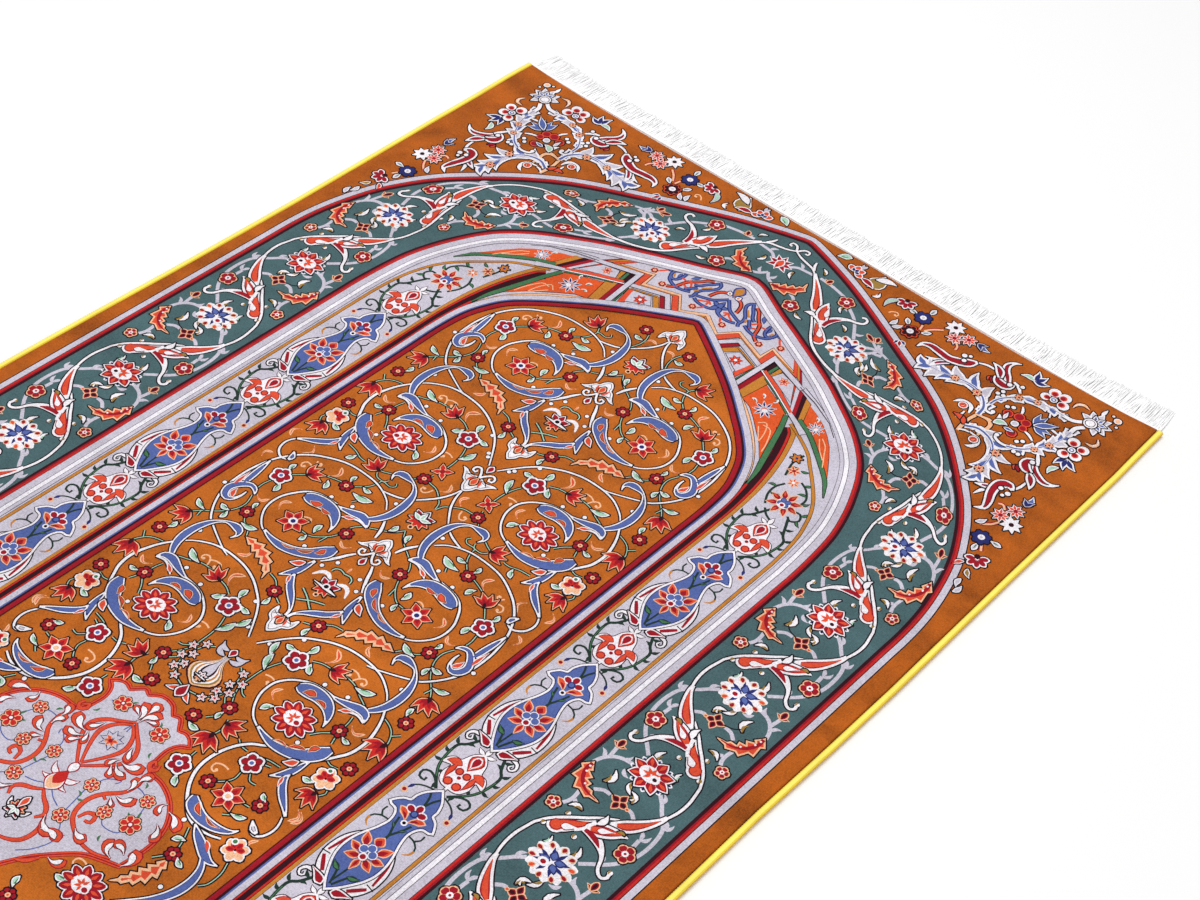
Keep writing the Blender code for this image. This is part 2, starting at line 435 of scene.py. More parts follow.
def great_rosette(chart, u, v, radius, turn, blue, level=4):
    """The border's large many-petalled flower, seen a little from one side."""
    with chart.placed(u, v, radius, turn, stretch=(1.0, 0.86)):
        if blue:
            chart.petals(("ivory",), 11, 0.30, 0.74, 0.50, level + 1)
            chart.disc("ivory", 0.0, 0.0, 0.76, level + 2, count=16)
            for index in range(10):
                tip = heading(36.0 * index) * 0.84
                dyes = ("peach", "coral") if index % 4 == 2 else ("peach", "crimson")
                root = tip * 0.78
                chart.leaf(dyes, root[0], root[1], 36.0 * index, 0.32, 0.26, level + 3, 0.0, PETAL, 0.0011, 5)
            chart.petals(("navy",), 8, 0.26, 0.48, 0.17, level + 3, 18.0, shape=POINTED)
            chart.petals(("navy", "blue"), 4, 0.08, 0.52, 0.40, level + 4, 20.0, 230.0, BLADE, rim=0.0018)
            chart.disc("ivory", -0.26, 0.22, 0.24, level + 7)
            chart.disc("crimson", -0.26, 0.22, 0.12, level + 8, count=8)
        else:
            chart.petals(("ivory", "navy"), 8, 0.56, 0.40, 0.26, level, 22.0, rim=0.0018)
            chart.petals(("ink", "ivory", "crimson"), 8, 0.26, 0.74, 0.58, level + 1, shape=BLADE, rim=0.0017)
            chart.petals(("coral",), 8, 0.44, 0.40, 0.16, level + 4, shape=SPEAR)
            chart.disc("ivory", -0.06, 0.04, 0.48, level + 5, stretch=0.84, count=14)
            chart.petals(("coral",), 5, 0.04, 0.34, 0.16, level + 6, -60.0, 200.0, POINTED)
            chart.disc("ivory", 0.26, 0.06, 0.23, level + 7)
            chart.disc("maroon", 0.26, 0.06, 0.10, level + 8, count=8)


def cross_flower(chart, u, v, radius, turn, level=4):
    """Four dark petals in a diamond."""
    with chart.placed(u, v, radius, turn):
        chart.petals(("peach", "crimson", "maroon"), 4, 0.02, 0.98, 0.82, level, shape=BLADE, rim=0.0013)
        chart.leaf(("peach", "coral"), 0.72, 0.0, 90.0, 0.46, 0.40, level + 3, 0.0, PETAL, 0.0012, 5)


# ---------------------------------------------------------------- stripes that follow the arch

ARCH_STEP = 0.006  # spacing of points over the arch, in rug widths like all that follows
STRAIGHT_STEP = 0.05  # and along the straight sides

# Outer and inner edge of the teal border from the apex to the straight sides
TEAL_OUTSIDE = (
    (0.0, 0.0255), (0.04, 0.0385), (0.10, 0.0625), (0.20, 0.1130), (0.26, 0.1450), (0.30, 0.1720),
    (0.34, 0.2070), (0.38, 0.2500), (0.398, 0.2730), (0.4145, 0.300), (0.4330, 0.339), (0.4450, 0.380),
    (0.4525, 0.420), (0.4556, 0.460), (0.4556, 0.50),
)
TEAL_INSIDE = (
    (0.0, 0.1220), (0.02, 0.1270), (0.06, 0.1480), (0.10, 0.1665), (0.167, 0.2000), (0.2005, 0.2200),
    (0.2455, 0.2505), (0.277, 0.2800), (0.294, 0.3040), (0.307, 0.3300), (0.3195, 0.3620), (0.3295, 0.400),
    (0.3340, 0.440), (0.3360, 0.48), (0.336, 0.50),
)
NICHE_OUTSIDE = (  # the niche's own line, round the field
    (0.0, 0.2385), (0.02, 0.2500), (0.06, 0.2755), (0.10, 0.3035), (0.14, 0.3365), (0.16, 0.3545),
    (0.18, 0.3770), (0.192, 0.4000), (0.2015, 0.430), (0.205, 0.470), (0.205, 0.52),
)

# Where each line turns across the foot
BORDER_FOOT = 1.6700  # outer teal edge
TEAL_INSIDE_FOOT = 1.5507
CHAMBER_FOOT = 1.5212
SWEEP_FOOT = 1.4442
FIELD_FOOT = 1.4197  # the niche's own line


def arch_line(rows, foot):
    """From the apex over the arch, down the side, round a sharp corner and back to the middle. The second
    value is the corner's place in the line."""
    arch = smooth(rows, ARCH_STEP)
    side, shoulder = rows[-1]
    straight = smooth([(side, shoulder), (side, foot)], STRAIGHT_STEP)[1:]
    bottom = smooth([(side, foot), (0.0, foot)], STRAIGHT_STEP)[1:]
    return np.vstack([arch, straight, bottom]), len(arch) + len(straight) - 1


def inwards(line, corner, distance):
    """The line moved inwards by a distance at each point, its corner kept square."""
    distance = np.broadcast_to(distance, len(line)).copy()
    moved = line + sideways(line)[0] * distance[:, None]
    if line[0, 0] < 0.01:
        moved[0, 0] = 0.0
    moved[-1, 0] = 0.0
    gap = distance[corner]
    moved[corner] = line[corner] - np.array([gap, gap])
    for index in (corner - 1, corner + 1):
        moved[index] = line[index] - np.array([gap, 0.0] if index < corner else [0.0, gap])
    return moved


def stripes(chart, line, corner, table, scale=None, level=0):
    """Lays stripe after stripe inwards from a line: each row is a dye, a width and a crown."""
    reach = 0.0
    scale = np.ones(len(line)) if scale is None else scale
    for dye, width, crown in table:
        outer = inwards(line, corner, reach * scale)
        reach += width
        inner = inwards(line, corner, reach * scale)
        chart.band(dye, outer, inner, level, crown)


OUTER_STRIPES = (
    ("ink", 0.0013, 0.0), ("grey", 0.0070, 0.0), ("ink", 0.0009, 0.0), ("red", 0.0024, 0.0006),
    ("crimson", 0.0022, 0.0), ("maroon", 0.0036, 0.0),
)
INNER_STRIPES = (
    ("maroon", 0.0032, 0.0), ("crimson", 0.0022, 0.0), ("red", 0.0026, 0.0006), ("ink", 0.0006, 0.0),
    ("grey", 0.0082, 0.0), ("ink", 0.0006, 0.0), ("white", 0.0050, 0.0), ("ink", 0.0006, 0.0),
    ("grey", 0.0042, 0.0), ("ink", 0.0004, 0.0),
)
SWEEP_OUTSIDE = (  # where the dark stripe comes down from the crossing of the straps to the field's side
    (0.192, 0.297), (0.200, 0.305), (0.206, 0.318), (0.212, 0.335), (0.217, 0.352), (0.2215, 0.372),
    (0.2255, 0.395), (0.228, 0.420), (0.2293, 0.445), (0.2295, 0.470),
)
SWEEP_STRIPES = (
    ("ink", 0.0004, 0.0), ("tan", 0.0036, 0.0), ("ink", 0.0006, 0.0), ("red", 0.0020, 0.0),
    ("maroon", 0.0056, 0.0), ("red", 0.0024, 0.0), ("ink", 0.0006, 0.0),
)
CHAMBER_OUTSIDE = (  # the other side of the pale band, from the same crossing
    (0.186, 0.2945), (0.205, 0.3035), (0.2295, 0.3185), (0.2435, 0.3325), (0.2555, 0.3448), (0.2685, 0.359),
    (0.281, 0.375), (0.291, 0.3935), (0.2978, 0.414), (0.3018, 0.430), (0.3050, 0.455), (0.3065, 0.480),
)
CHAMBER_STRIPES = (("ink", 0.0006, 0.0), ("tan", 0.0034, 0.0), ("ink", 0.0006, 0.0))
NICHE_STRIPES = (
    ("ink", 0.0006, 0.0), ("grey", 0.0066, 0.0), ("blue", 0.0018, 0.0), ("maroon", 0.0026, 0.0),
    ("crimson", 0.0050, 0.0006), ("maroon", 0.0010, 0.0),
)
NICHE_PALE = 0.0106  # of them that lie outside the niche's own line


def framework(chart):
    """The grounds and stripes that frame the field. Some are wider over the arch than down the sides."""
    outer, corner = arch_line(TEAL_OUTSIDE, BORDER_FOOT)
    inner, inner_corner = arch_line(TEAL_INSIDE, TEAL_INSIDE_FOOT)
    swell = np.interp(outer[:, 1], (0.05, 0.16, 0.30, 0.47), (1.06, 1.10, 1.04, 1.0))
    swell[corner - 12:] = 1.0
    total = sum(row[1] for row in OUTER_STRIPES)
    stripes(chart, inwards(outer, corner, -total * swell), corner, OUTER_STRIPES, swell, 1)
    middle = np.stack([np.zeros(40), np.linspace(outer[0, 1], BORDER_FOOT, 40)], axis=1)
    chart.fill("teal", np.vstack([outer, middle[::-1][1:-1]]), 0)
    chart.fill("grey", np.vstack([inner, [(0.0, 1.3), (0.0, 0.9), (0.0, 0.5)]]), 1)
    stripes(chart, inner, inner_corner, INNER_STRIPES, None, 20)

    chamber, chamber_corner = arch_line(CHAMBER_OUTSIDE, CHAMBER_FOOT)
    stripes(chart, chamber, chamber_corner, CHAMBER_STRIPES, None, 14)
    sweep, sweep_corner = arch_line(SWEEP_OUTSIDE, SWEEP_FOOT)
    flared = np.interp(sweep[:, 1], (0.31, 0.40, 0.46), (1.45, 1.25, 1.0))
    stripes(chart, sweep, sweep_corner, SWEEP_STRIPES, flared, 12)
    niche, niche_corner = arch_line(NICHE_OUTSIDE, FIELD_FOOT)
    chart.fill("saffron", np.vstack([niche, [(0.0, 1.1), (0.0, 0.7)]]), 4)
    arched = np.interp(niche[:, 1], (0.24, 0.40, 0.47), (1.12, 1.12, 1.0))
    stripes(chart, inwards(niche, niche_corner, -NICHE_PALE * arched), niche_corner, NICHE_STRIPES, arched,
            21)


# ---------------------------------------------------------------- the vine of the teal border

STATIONS = (  # the border's large flowers from the apex on, and the line through them
    (0.0, 0.0760), (0.153, 0.1480), (0.299, 0.2330), (0.3890, 0.3610), (0.3955, 0.5010),
    (0.3945, 0.6415), (0.3940, 0.7820), (0.3930, 0.9225),
)
PATH_STEP = 0.004
HALF_UNIT = 0.1404  # drawn length of a half repeat
FOOT_UNITS = 7  # half repeats from the last station to the middle of the foot
BORDER_MIDDLE_FOOT = 1.608
BEND = 0.060  # radius of the vine's turn in the corner
ROSETTE_RADIUS = 0.0255


def border_path():
    """Points along the border's middle, and how many half repeats from the apex each one is."""
    upper = smooth(STATIONS, PATH_STEP)
    marks = [0.0]
    for low, high in zip(STATIONS, STATIONS[1:]):
        count = max(1, int(np.ceil(math.dist(low, high) / PATH_STEP)))
        marks.extend(marks[-1] + (np.arange(count) + 1) / count)
    u, v = STATIONS[-1]
    angles = np.linspace(0.0, np.pi / 2, 16)
    bend_v = BORDER_MIDDLE_FOOT - BEND
    bend = np.stack([u - BEND + BEND * np.cos(angles), bend_v + BEND * np.sin(angles)], axis=1)
    lower = np.vstack([smooth([(u, v), (u, bend_v)], 0.02), bend[1:],
                       smooth([bend[-1], (0.0, BORDER_MIDDLE_FOOT)], 0.02)[1:]])
    run = np.concatenate([[0.0], np.cumsum(np.linalg.norm(np.diff(lower, axis=0), axis=1))])
    marks = np.concatenate([marks, marks[-1] + run[1:] / run[-1] * FOOT_UNITS])
    return np.vstack([upper, lower[1:]]), marks


def border_place(station):
    """Maps a half repeat's own places, outwards and onwards, to the rug. Every second one is turned over."""
    path, marks = border_path()
    side = sideways(path)[0]
    ease = np.interp(marks, (0, 1.0, 1.35, 1.9, 2.6, 3.3, 4), (0.84, 0.80, 0.75, 0.85, 0.86, 0.92, 1.0))
    turned = -1.0 if station % 2 else 1.0

    def place(points):
        mark = station + points[:, 1] / HALF_UNIT
        across = -points[:, 0] * turned * np.interp(mark, marks, ease)
        centre, normal = (np.stack([np.interp(mark, marks, table[:, axis]) for axis in (0, 1)], axis=1)
                          for table in (path, side))
        return centre + normal * across[:, None]

    return place


def spear(chart, blade, lobe, bulb, tip, commas):
    """The large white-rimmed arabesque leaf: a long coral blade, a lobe and a round bulb at its end."""
    for rows, level in ((bulb, 5), (blade, 8), (lobe, 11)):
        chart.line("ivory", rows, level, edge="ink")
        heart = [(u, v, max(width - 5.6, 0.8)) for u, v, width in rows[1:-1]]
        chart.line("crimson", heart, level + 2)
        chart.line("coral", [(u, v, width * 0.66) for u, v, width in heart], level + 3)
    u, v = tip
    for dye, radius, level in (("ink", 10.6, 5), ("ivory", 9.4, 6), ("crimson", 6.8, 9), ("coral", 5.6, 10)):
        chart.disc(dye, u, v, radius, level, count=14)
    for place, (u, v, turn, length, width) in enumerate(commas):
        chart.leaf(("crimson", "ivory"), u, v, turn, length, width, 14 + 2 * place, 0.0, COMMA, 0.0009, 9)


def drop_bud(chart, u, v, size, turn, level=5):
    """A closed dark red bud between two pink-rimmed sepals."""
    dyes = ("peach", "crimson", "maroon")
    with chart.placed(u, v, size, turn):
        for side in (-1, 1):
            chart.leaf(dyes, 0.0, 0.60, side * 58, 0.95, 0.50, level, side * -0.14, BLADE, 0.0011)
        chart.leaf(dyes, 0.0, 0.58, 0.0, 1.30, 0.86, level + 3, 0.0, PETAL, 0.0013)


def pale_stems(chart, forks, *paths):
    """The soft grey stems behind the spears, and the thorns at their forks."""
    for points in paths:
        chart.line("grey", points, 3, width=4.2)
    for u, v, turn in forks:
        chart.leaf(("grey",), u, v, turn, 12, 4.6, 4, 0.2, BLADE)


def peach_feather(chart, spine, width, vein, vein_widths):
    """A toothed coral feather with a dark red vein."""
    feather(chart, spine, width, 5, ("peach", "coral"), 6, both=True, rim=0.0019)
    chart.line("crimson", vein, 9, width=vein_widths)


def half_unit(chart):
    """Half a repeat of the border vine, from one great rosette to the next: inwards and onwards."""
    chart.line("ivory", [(43, -22.4), (45.2, -12), (47, -1), (47, 11), (45, 22), (42, 31)], 6,
               (2.8, 3.1, 2.6), "ink")
    chart.line("ivory", [(13, 60), (-1, 70.5), (-11, 80.5), (-21, 89.5), (-30, 98.5), (-37, 107),
                         (-43, 118.4)],
               7, (2.0, 3.1, 3.1, 2.8), "ink")
    spear(chart,
          [(43, 26, 4), (41.5, 33, 6), (36.5, 43, 9.6), (30, 53, 13), (22.5, 61.5, 14.6), (15, 66.5, 10),
           (9, 69, 3)],
          [(32.5, 70.5, 1), (26, 72, 7), (17, 77, 14), (8, 82, 16.4), (0, 87, 13), (-3, 90, 8)],
          [(-2, 77, 3), (-5, 82.5, 8), (-10, 89.5, 12.6), (-16.5, 95.5, 15.6), (-22, 101, 17.6),
           (-26, 105, 16), (-28, 107, 10)],
          (-26.5, 106), ((-7, 94, 236, 19, 9), (21, 74, 236, 19, 8)))
    chart.leaf(("ink", "olive"), 28, 70, 244, 9, 4, 12, 0.2, POINTED)
    chart.line("ivory", [(-1, 78, 5), (-3, 86, 3), (-6, 94, 3), (-10, 99, 3)], 18)
    chart.leaf(("ink", "ivory"), 1, 79, 4, 15, 7, 15, 0.16, POINTED)
    chart.line("ivory", [(-5, 91, 7), (4, 90.5, 10), (13, 92.5, 9.6), (21, 96.5, 7), (27, 101.5, 4.4),
                         (31, 107.5, 3.4), (34, 114.5, 3.2), (39, 119.5, 3.2), (44, 120.5, 3.2),
                         (47.5, 116.5, 3.4), (46.5, 112.5, 3.4)], 9,
               edge="ink")
    chart.line("crimson", [(-3, 91.5, 4), (5, 91.5, 5.4), (13, 93.6, 5), (20, 97.5, 1)], 11)
    for u, v in ((46, 111), (-5, 105), (-27, 89), (-37, 113)):
        chart.disc("ink", u, v, 3.6, 6)
        chart.disc("ivory", u, v - 0.4, 2.8, 7, count=8)
        chart.leaf(("olive",), u, v - 3, 180, 5, 2.4, 8, 0.3, BLADE)
    pale_stems(
        chart, ((29, 18, -28), (48, 39, 30), (50, 39, -36), (41, 64, 32), (41, 64, -34), (-48, 17, -40),
                (33, 108, -50), (-34, 5, 35), (-24, 12, 120)),
        [(21, 11), (29, 18), (35, 25), (43, 33), (49, 40), (52, 51), (53, 64), (52, 77), (48, 90),
         (42, 100.5), (34, 109.5), (27, 115.5), (18, 124)],
        [(41, 64), (42, 76)], [(22, 51), (16, 46.5), (11, 45.5)], [(-13, 44.5), (-21, 45), (-29, 51)],
        [(-22, 2), (-34, 4.5), (-42, 9.5), (-48, 17.5), (-51, 27)], [(-44, 11), (-46, -2)],
        [(-38, 58), (-36, 70.5), (-37, 78.5), (-41, 86)], [(-34, 72.5), (-28, 76)])
    border_flower(chart, 42, 85.5, 11, 4, 14)
    border_flower(chart, -46, 89, 8, 4, 0)
    cross_flower(chart, -1, 45, 11.5, 8)
    drop_bud(chart, -46, -8, 10, 0)
    peach_feather(chart, [(-50, 26), (-50.5, 38), (-45, 50), (-34, 58), (-15, 59.5)], 15,
                  [(-50, 29), (-50, 39), (-44, 50), (-33, 57.5), (-20, 59)], (4.4, 4.0, 1.0))
    for u, v in ((-49.5, 33), (-48, 40), (-39, 52)):
        chart.disc("ivory", u, v, 1.3, 11, count=6)
    for u, v, length, turn, bend, dye in (
        (-29, 37, 18, 2, 0.30, "olive"), (-8, 19, 15, 146, 0.16, "olive"), (8, 38, 14, -40, 0.3, "olive"),
        (-20, 77, 14, 252, 0.25, "olive"), (6, 125, 16, 8, 0.30, "olive"), (-22, 128, 10, 12, 0.3, "mint"),
        (20, -5, 13, -40, 0.2, "olive"), (4, 36, 8, 30, 0.2, "ivory"),
    ):
        curl_leaf(chart, u, v, length, turn, 4, bend, dye)
    chart.line("ink", [(-27, 34), (-20, 40), (-10, 43)], 4, width=1.4)


def apex_unit(chart):
    """The half repeat at the point of the arch starts from a palmette and is drawn a little differently."""
    with chart.once():
        with chart.placed(0, 81, 17.5):
            chart.petals(("ivory", "crimson"), 7, 0.10, 0.90, 0.50, 5, sweep=250.0, shape=POINTED)
            chart.leaf(("ivory", "coral"), 0.0, 0.75, 0.0, 1.30, 0.70, 8, 0.0, SPEAR)
            chart.disc("ivory", 0.0, 0.35, 0.26, 9)
            chart.disc("crimson", 0.0, 0.35, 0.12, 10, count=8)
    chart.line("ivory", [(0, 47.5, 3), (6, 38, 3), (13, 37, 2.8), (14, 42.5, 2.8), (10.5, 43, 3)], 6,
               edge="ink")
    vine(chart, [(0, 47), (10, 52), (22, 55.5), (34, 59), (44, 67)], 6, 2.7)
    vine(chart, [(31, 46), (33, 53), (38, 60)], 5, 3)
    vine(chart, [(84, 126), (93, 137), (102, 150), (111, 163), (124, 175), (143, 184.5), (160, 190),
                 (178, 193)], 7, 2.7)
    spear(chart,
          [(42, 64, 4), (49, 72, 6), (60, 84, 9.6), (70, 97, 12.4), (78, 109, 14.6), (83, 118, 10),
           (86, 124, 3)],
          [(88, 96, 1), (89, 102, 7), (91.5, 111, 14), (95.5, 120, 16.4), (101, 128, 13), (104, 132, 8)],
          [(94, 130, 3), (99, 136, 8), (106, 144, 12.6), (112, 150, 15.6), (116, 155, 17.6), (119, 159, 16),
           (120, 161, 10)],
          (118.5, 158), ((106, 139, 143, 20, 9), (93, 101, 158, 22, 8)))
    chart.line("ivory", [(90, 128, 5), (97, 130.5, 3), (103, 134, 3), (108, 140, 3)], 18)
    chart.leaf(("ink", "ivory"), 90, 128, 262, 14, 7, 15, 0.16, POINTED)
    chart.line("ivory", [(108, 137, 7), (107, 127, 10), (110, 117, 9.4), (116, 109, 6.6), (124, 103, 4.2),
                         (133, 100.5, 3.4), (140, 96, 3.2), (140.5, 89, 3.2), (136, 86, 3.2), (132, 88, 3.4)],
               9, edge="ink")
    chart.line("crimson", [(108, 135, 4), (108, 126, 5.4), (111.5, 117, 4.8), (117, 110, 1)], 11)
    pale_stems(
        chart, ((25, 70, -40), (142, 118, 60), (179, 130, 60), (6, 112, 30), (106, 82, 150)),
        [(10, 80), (20, 71), (32, 69), (44, 68)], [(52, 66), (73, 68), (94, 73)],
        [(110, 85), (125, 96), (134, 106), (148, 127)], [(0, 104), (7, 113), (16, 118)],
        [(44, 117), (51, 120), (56, 126)], [(164, 140), (174, 136), (180, 126), (176, 113)],
        [(178, 131), (190, 128)])
    border_flower(chart, 102, 79.5, 11)
    border_flower(chart, 58, 134, 11)
    drop_bud(chart, 64, 64, 9, 20)
    drop_bud(chart, 170, 108, 9, -15)
    peach_feather(chart, [(14, 119), (28, 118), (41, 110), (49, 99), (47.5, 86)], 16,
                  [(17, 119), (29, 117.5), (40, 110), (48, 98)], (4.0, 3.4, 1.0))
    for u, v, length, turn, bend in ((22, 81, 14, 165, 0.2), (104, 89, 12, 160, 0.2), (70, 140, 13, 110, 0.2),
                                     (52, 58, 12, -40, 0.2), (132, 124, 12, -50, 0.2),
                                     (188, 166, 14, -10, 0.2)):
        curl_leaf(chart, u, v, length, turn, 4, bend)


def border(chart):
    """The vine round the teal border, from the apex to the middle of the foot."""
    with chart.thousandths():
        apex_unit(chart)
    path, marks = border_path()
    last = len(STATIONS) - 1 + FOOT_UNITS
    for station in range(1, last):
        with chart.warped(border_place(station)), chart.thousandths():
            half_unit(chart)
    for station in range(1, last + 1):
        u, v = (float(np.interp(station, marks, path[:, axis])) for axis in (0, 1))
        blue = station % 2 == 1
        great_rosette(chart, u, v, ROSETTE_RADIUS, 0.0 if blue else 12.0, blue, 6)
# ---------------------------------------------------------------- the pale band of cartouches
# Everything here is in thousandths of the rug's width.

BAND_MIDDLE = 265
BAND_PERIOD = 219.5
FIRST_CARTOUCHE = 498.5  # v of the first cartouche's point
BAND_FOOT = 1478  # middle of the band across the foot


def halves(chart, part):
    """A part and its mirror image about the motif's own middle line."""
    for flip in (False, True):
        with chart.placed(0.0, 0.0, flip=flip):
            part(chart)


def stems(chart, dye, width, level, *paths):
    """Thin lines of one dye."""
    for path in paths:
        chart.line(dye, path, level, width=width)


CARTOUCHE_HALF = (  # across, down from the point
    (0, 0), (6, 6.5), (10, 12), (13, 20), (13.5, 27), (20.5, 31), (26.5, 40), (24, 41.5), (17.5, 42.5),
    (13, 48), (11, 56), (11.5, 62), (14, 71.5), (18, 82), (21, 92), (22.3, 102), (21.7, 112), (18.5, 122),
    (13, 132), (6.5, 142), (0, 149.5),
)


def cartouche_half(chart):
    """One side of a cartouche: its wing, its curls and its buds."""
    chart.line("ivory", [(14, 78, 2.4), (21, 86, 4), (26, 98, 7), (27.5, 110, 9), (26.5, 122, 10),
                         (20, 135, 11), (9, 144, 10)], 4, edge="ink")
    chart.line("crimson", [(22.5, 88, 1.8), (25.5, 98, 2.8), (27.2, 108, 3.0), (29, 119, 2.2)], 6)
    chart.line("crimson", [(28, 125, 3.2), (22, 132, 4.2), (16, 139, 3.6)], 6)
    chart.line("ink", [(24, 121), (33.5, 122.5)], 6, width=1.2)
    chart.line("ivory", [(22, 144), (29, 146), (31.5, 152), (28, 156), (24.5, 153.5), (26, 150.5)], 4,
               width=(4, 3, 2.2, 1.8, 1.6, 1.4), edge="ink")
    chart.leaf(("ink", "ivory", "crimson"), 25.5, 141.5, 246, 21.5, 10.5, 7, 0.04, COMMA, 0.0015)
    stems(chart, "moss", 1.9, 3, [(7, 3), (17, 6), (24, 11), (26.5, 17)], [(12, 57), (18, 57.5), (23, 58.5)],
          [(21, 58), (25, 53), (24.5, 47)], [(21, 58), (27, 62), (29.5, 68)])
    chart.leaf(("navy",), 24.5, 11, 160, 8, 3.6, 4, 0.0, BLADE)
    chart.dot(("peach", "crimson"), 28, 22, 3.8, 5)
    chart.line("tan", [(29, 66), (28, 72), (23, 76)], 3, width=(2.6, 2.2, 0.6))


def cartouche(chart):
    """A blue cartouche between two white and red wings, drawn down from its point."""
    halves(chart, cartouche_half)
    chart.crest((("ink", -0.0031), ("ivory", -0.0023), ("navy", 0.0), ("blue", 0.0010)), CARTOUCHE_HALF, 8)
    for side in (-1, 1):
        stems(chart, "moss", 2.4, 12, [(side * 6, 8), (side * 2.5, 15), (0, 25)],
              [(side * 8, 48), (side * 5, 58), (0, 70), (0, 76)],
              [(side * 1, 144), (side * 5, 133), (side * 9, 125), (side * 15, 124)])
        chart.leaf(("moss", "green"), side * 5, 128, side * 62, 13, 6, 13, side * 0.14, BLADE, 0.0012)
        chart.leaf(("moss", "green"), side * 3, 60, side * 52, 8, 3.4, 13, 0.0, BLADE, 0.0010)
        chart.leaf(("peach", "coral"), side * 1.5, 48, side * 56, 18.5, 9.2, 15, side * -0.12, SPEAR, 0.0016)
        chart.leaf(("crimson",), side * 3, 46, side * 56, 9, 3, 18, side * -0.1, BLADE)
    stems(chart, "moss", 2.0, 12, [(0, 118), (-1, 130), (-2, 140)])
    with chart.placed(0, 36.5):
        chart.petals(("ivory", "crimson"), 3, 1.5, 11.5, 9.4, 15, sweep=136, rim=0.0014)
        chart.dot(("navy", "blue"), 0, 0, 4.4, 18)
    chart.dot(("ivory", "ink"), 0, 50, 3.5, 18)
    with chart.placed(0, 102.5):
        for turn, root, length, width in ((0, 16, 12.5, 13), (36, 12, 17, 10.5), (74, 8, 14, 9.5),
                                          (118, 3, 16, 10)):
            for side in (-1, 1):
                u, v = heading(turn) * root * (side, 1)
                chart.leaf(("peach", "coral"), u, v, side * turn, length, width, 14, 0.0, BLADE, 0.0013)
                chart.leaf(("crimson",), u, v, side * turn, length * 0.66, width * 0.52, 17, 0.0, BLADE)
        chart.leaf(("peach", "coral", "crimson"), 0, 3, 180, 16, 8, 14, 0.0, BLADE, 0.0013)
        for dye, radius in (("ivory", 5.0), ("blue", 4.0)):
            for u, v in ((0, -11.5), (-5.6, -6.5), (5.6, -6.5)):
                chart.disc(dye, u, v, radius, 18 + (dye == "blue"))
        chart.dot(("ivory", "crimson"), 0, 0.5, 4.6, 20)


LOTUS_HALF = (  # across, down from the tip
    (0, 0), (5, 4), (9.5, 10), (12, 18), (14, 21), (20, 22), (24.5, 27), (25.5, 34), (19, 32), (16, 32.5),
    (17, 42), (14, 50), (8, 54), (0, 54.5),
)


def lotus_half(chart):
    """One side of a lotus: its wing, its balls and a thorn."""
    chart.leaf(("crimson", "coral"), 7.5, 25.5, 106, 17, 10, 7, -0.12, BLADE, 0.0009)
    chart.leaf(("crimson", "coral"), 11, 48, 2, 22, 7, 7, 0.06, SPEAR, 0.0012)
    for u, v, radius in ((4.8, 32, 4.6), (5.6, 47.5, 5.2)):
        chart.dot(("crimson", "coral"), u, v, radius, 9)
    chart.leaf(("maroon", "ivory"), 1, 1, 68, 11, 6, 4, 0.1, BLADE, 0.0009)


def lotus(chart):
    """A coral and white lotus palmette, point up, drawn down from its tip."""
    chart.line("maroon", [(0, 52), (0, 63)], 3, width=4.4)
    chart.line("ivory", [(0, 52), (0, 64)], 4, width=2.6)
    chart.crest((("maroon", -0.0010), ("ivory", 0.0)), LOTUS_HALF, 5)
    halves(chart, lotus_half)
    chart.leaf(("maroon", "ivory"), 0, 2, 0, 14, 7, 5, 0.0, BLADE, 0.0009)
    chart.leaf(("crimson", "coral", "ivory", "crimson"), 0, 27, 0, 24, 17, 8, 0.0, SPEAR, 0.0015)
    chart.disc("crimson", 0, 38, 2.2, 9, count=7)


def scroll_half(chart):
    """The green thorned stem that rises on each side of a lotus."""
    stems(chart, "moss", 3.3, 3,
          [(7, 62), (17, 51), (24, 41), (27.5, 30), (29, 17), (28, 9), (22, 2.5), (15, -12),
                                  (11, -20)])
    stems(chart, "moss", 2.6, 3, [(7, 62), (16, 54), (25, 51), (31, 55), (29, 62), (22, 62.5), (22.5, 58.5)])
    for u, v, turn, length in ((28, 9, 40, 10), (23, 3.5, -70, 9), (27, 33, 100, 9), (18, -6, 56, 10),
                               (20, 47, -50, 8), (28.5, 22, 60, 8), (13, 57, 190, 8)):
        chart.leaf(("moss",), u, v, turn, length, 4.2, 4, 0.15, POINTED)
    chart.line("green", [(17, 51), (24, 41), (27.5, 30), (29, 17)], 5, width=1.0)


def band_flower(chart, radius):
    """The large open flower that starts each run of cartouches."""
    with chart.placed(0.0, 0.0, radius):
        chart.petals(("peach", "crimson"), 8, 0.26, 0.78, 0.44, 5, 12.0, shape=BLADE, rim=0.0012)
        chart.petals(("coral",), 8, 0.54, 0.38, 0.13, 9, 12.0, shape=POINTED)
        chart.disc("ivory", 0.0, 0.06, 0.40, 9, count=14)
        chart.petals(("navy", "blue"), 4, 0.02, 0.38, 0.34, 10, sweep=250.0, rim=0.0008)
        chart.dot(("ivory", "crimson"), 0.0, 0.22, 0.20, 13)


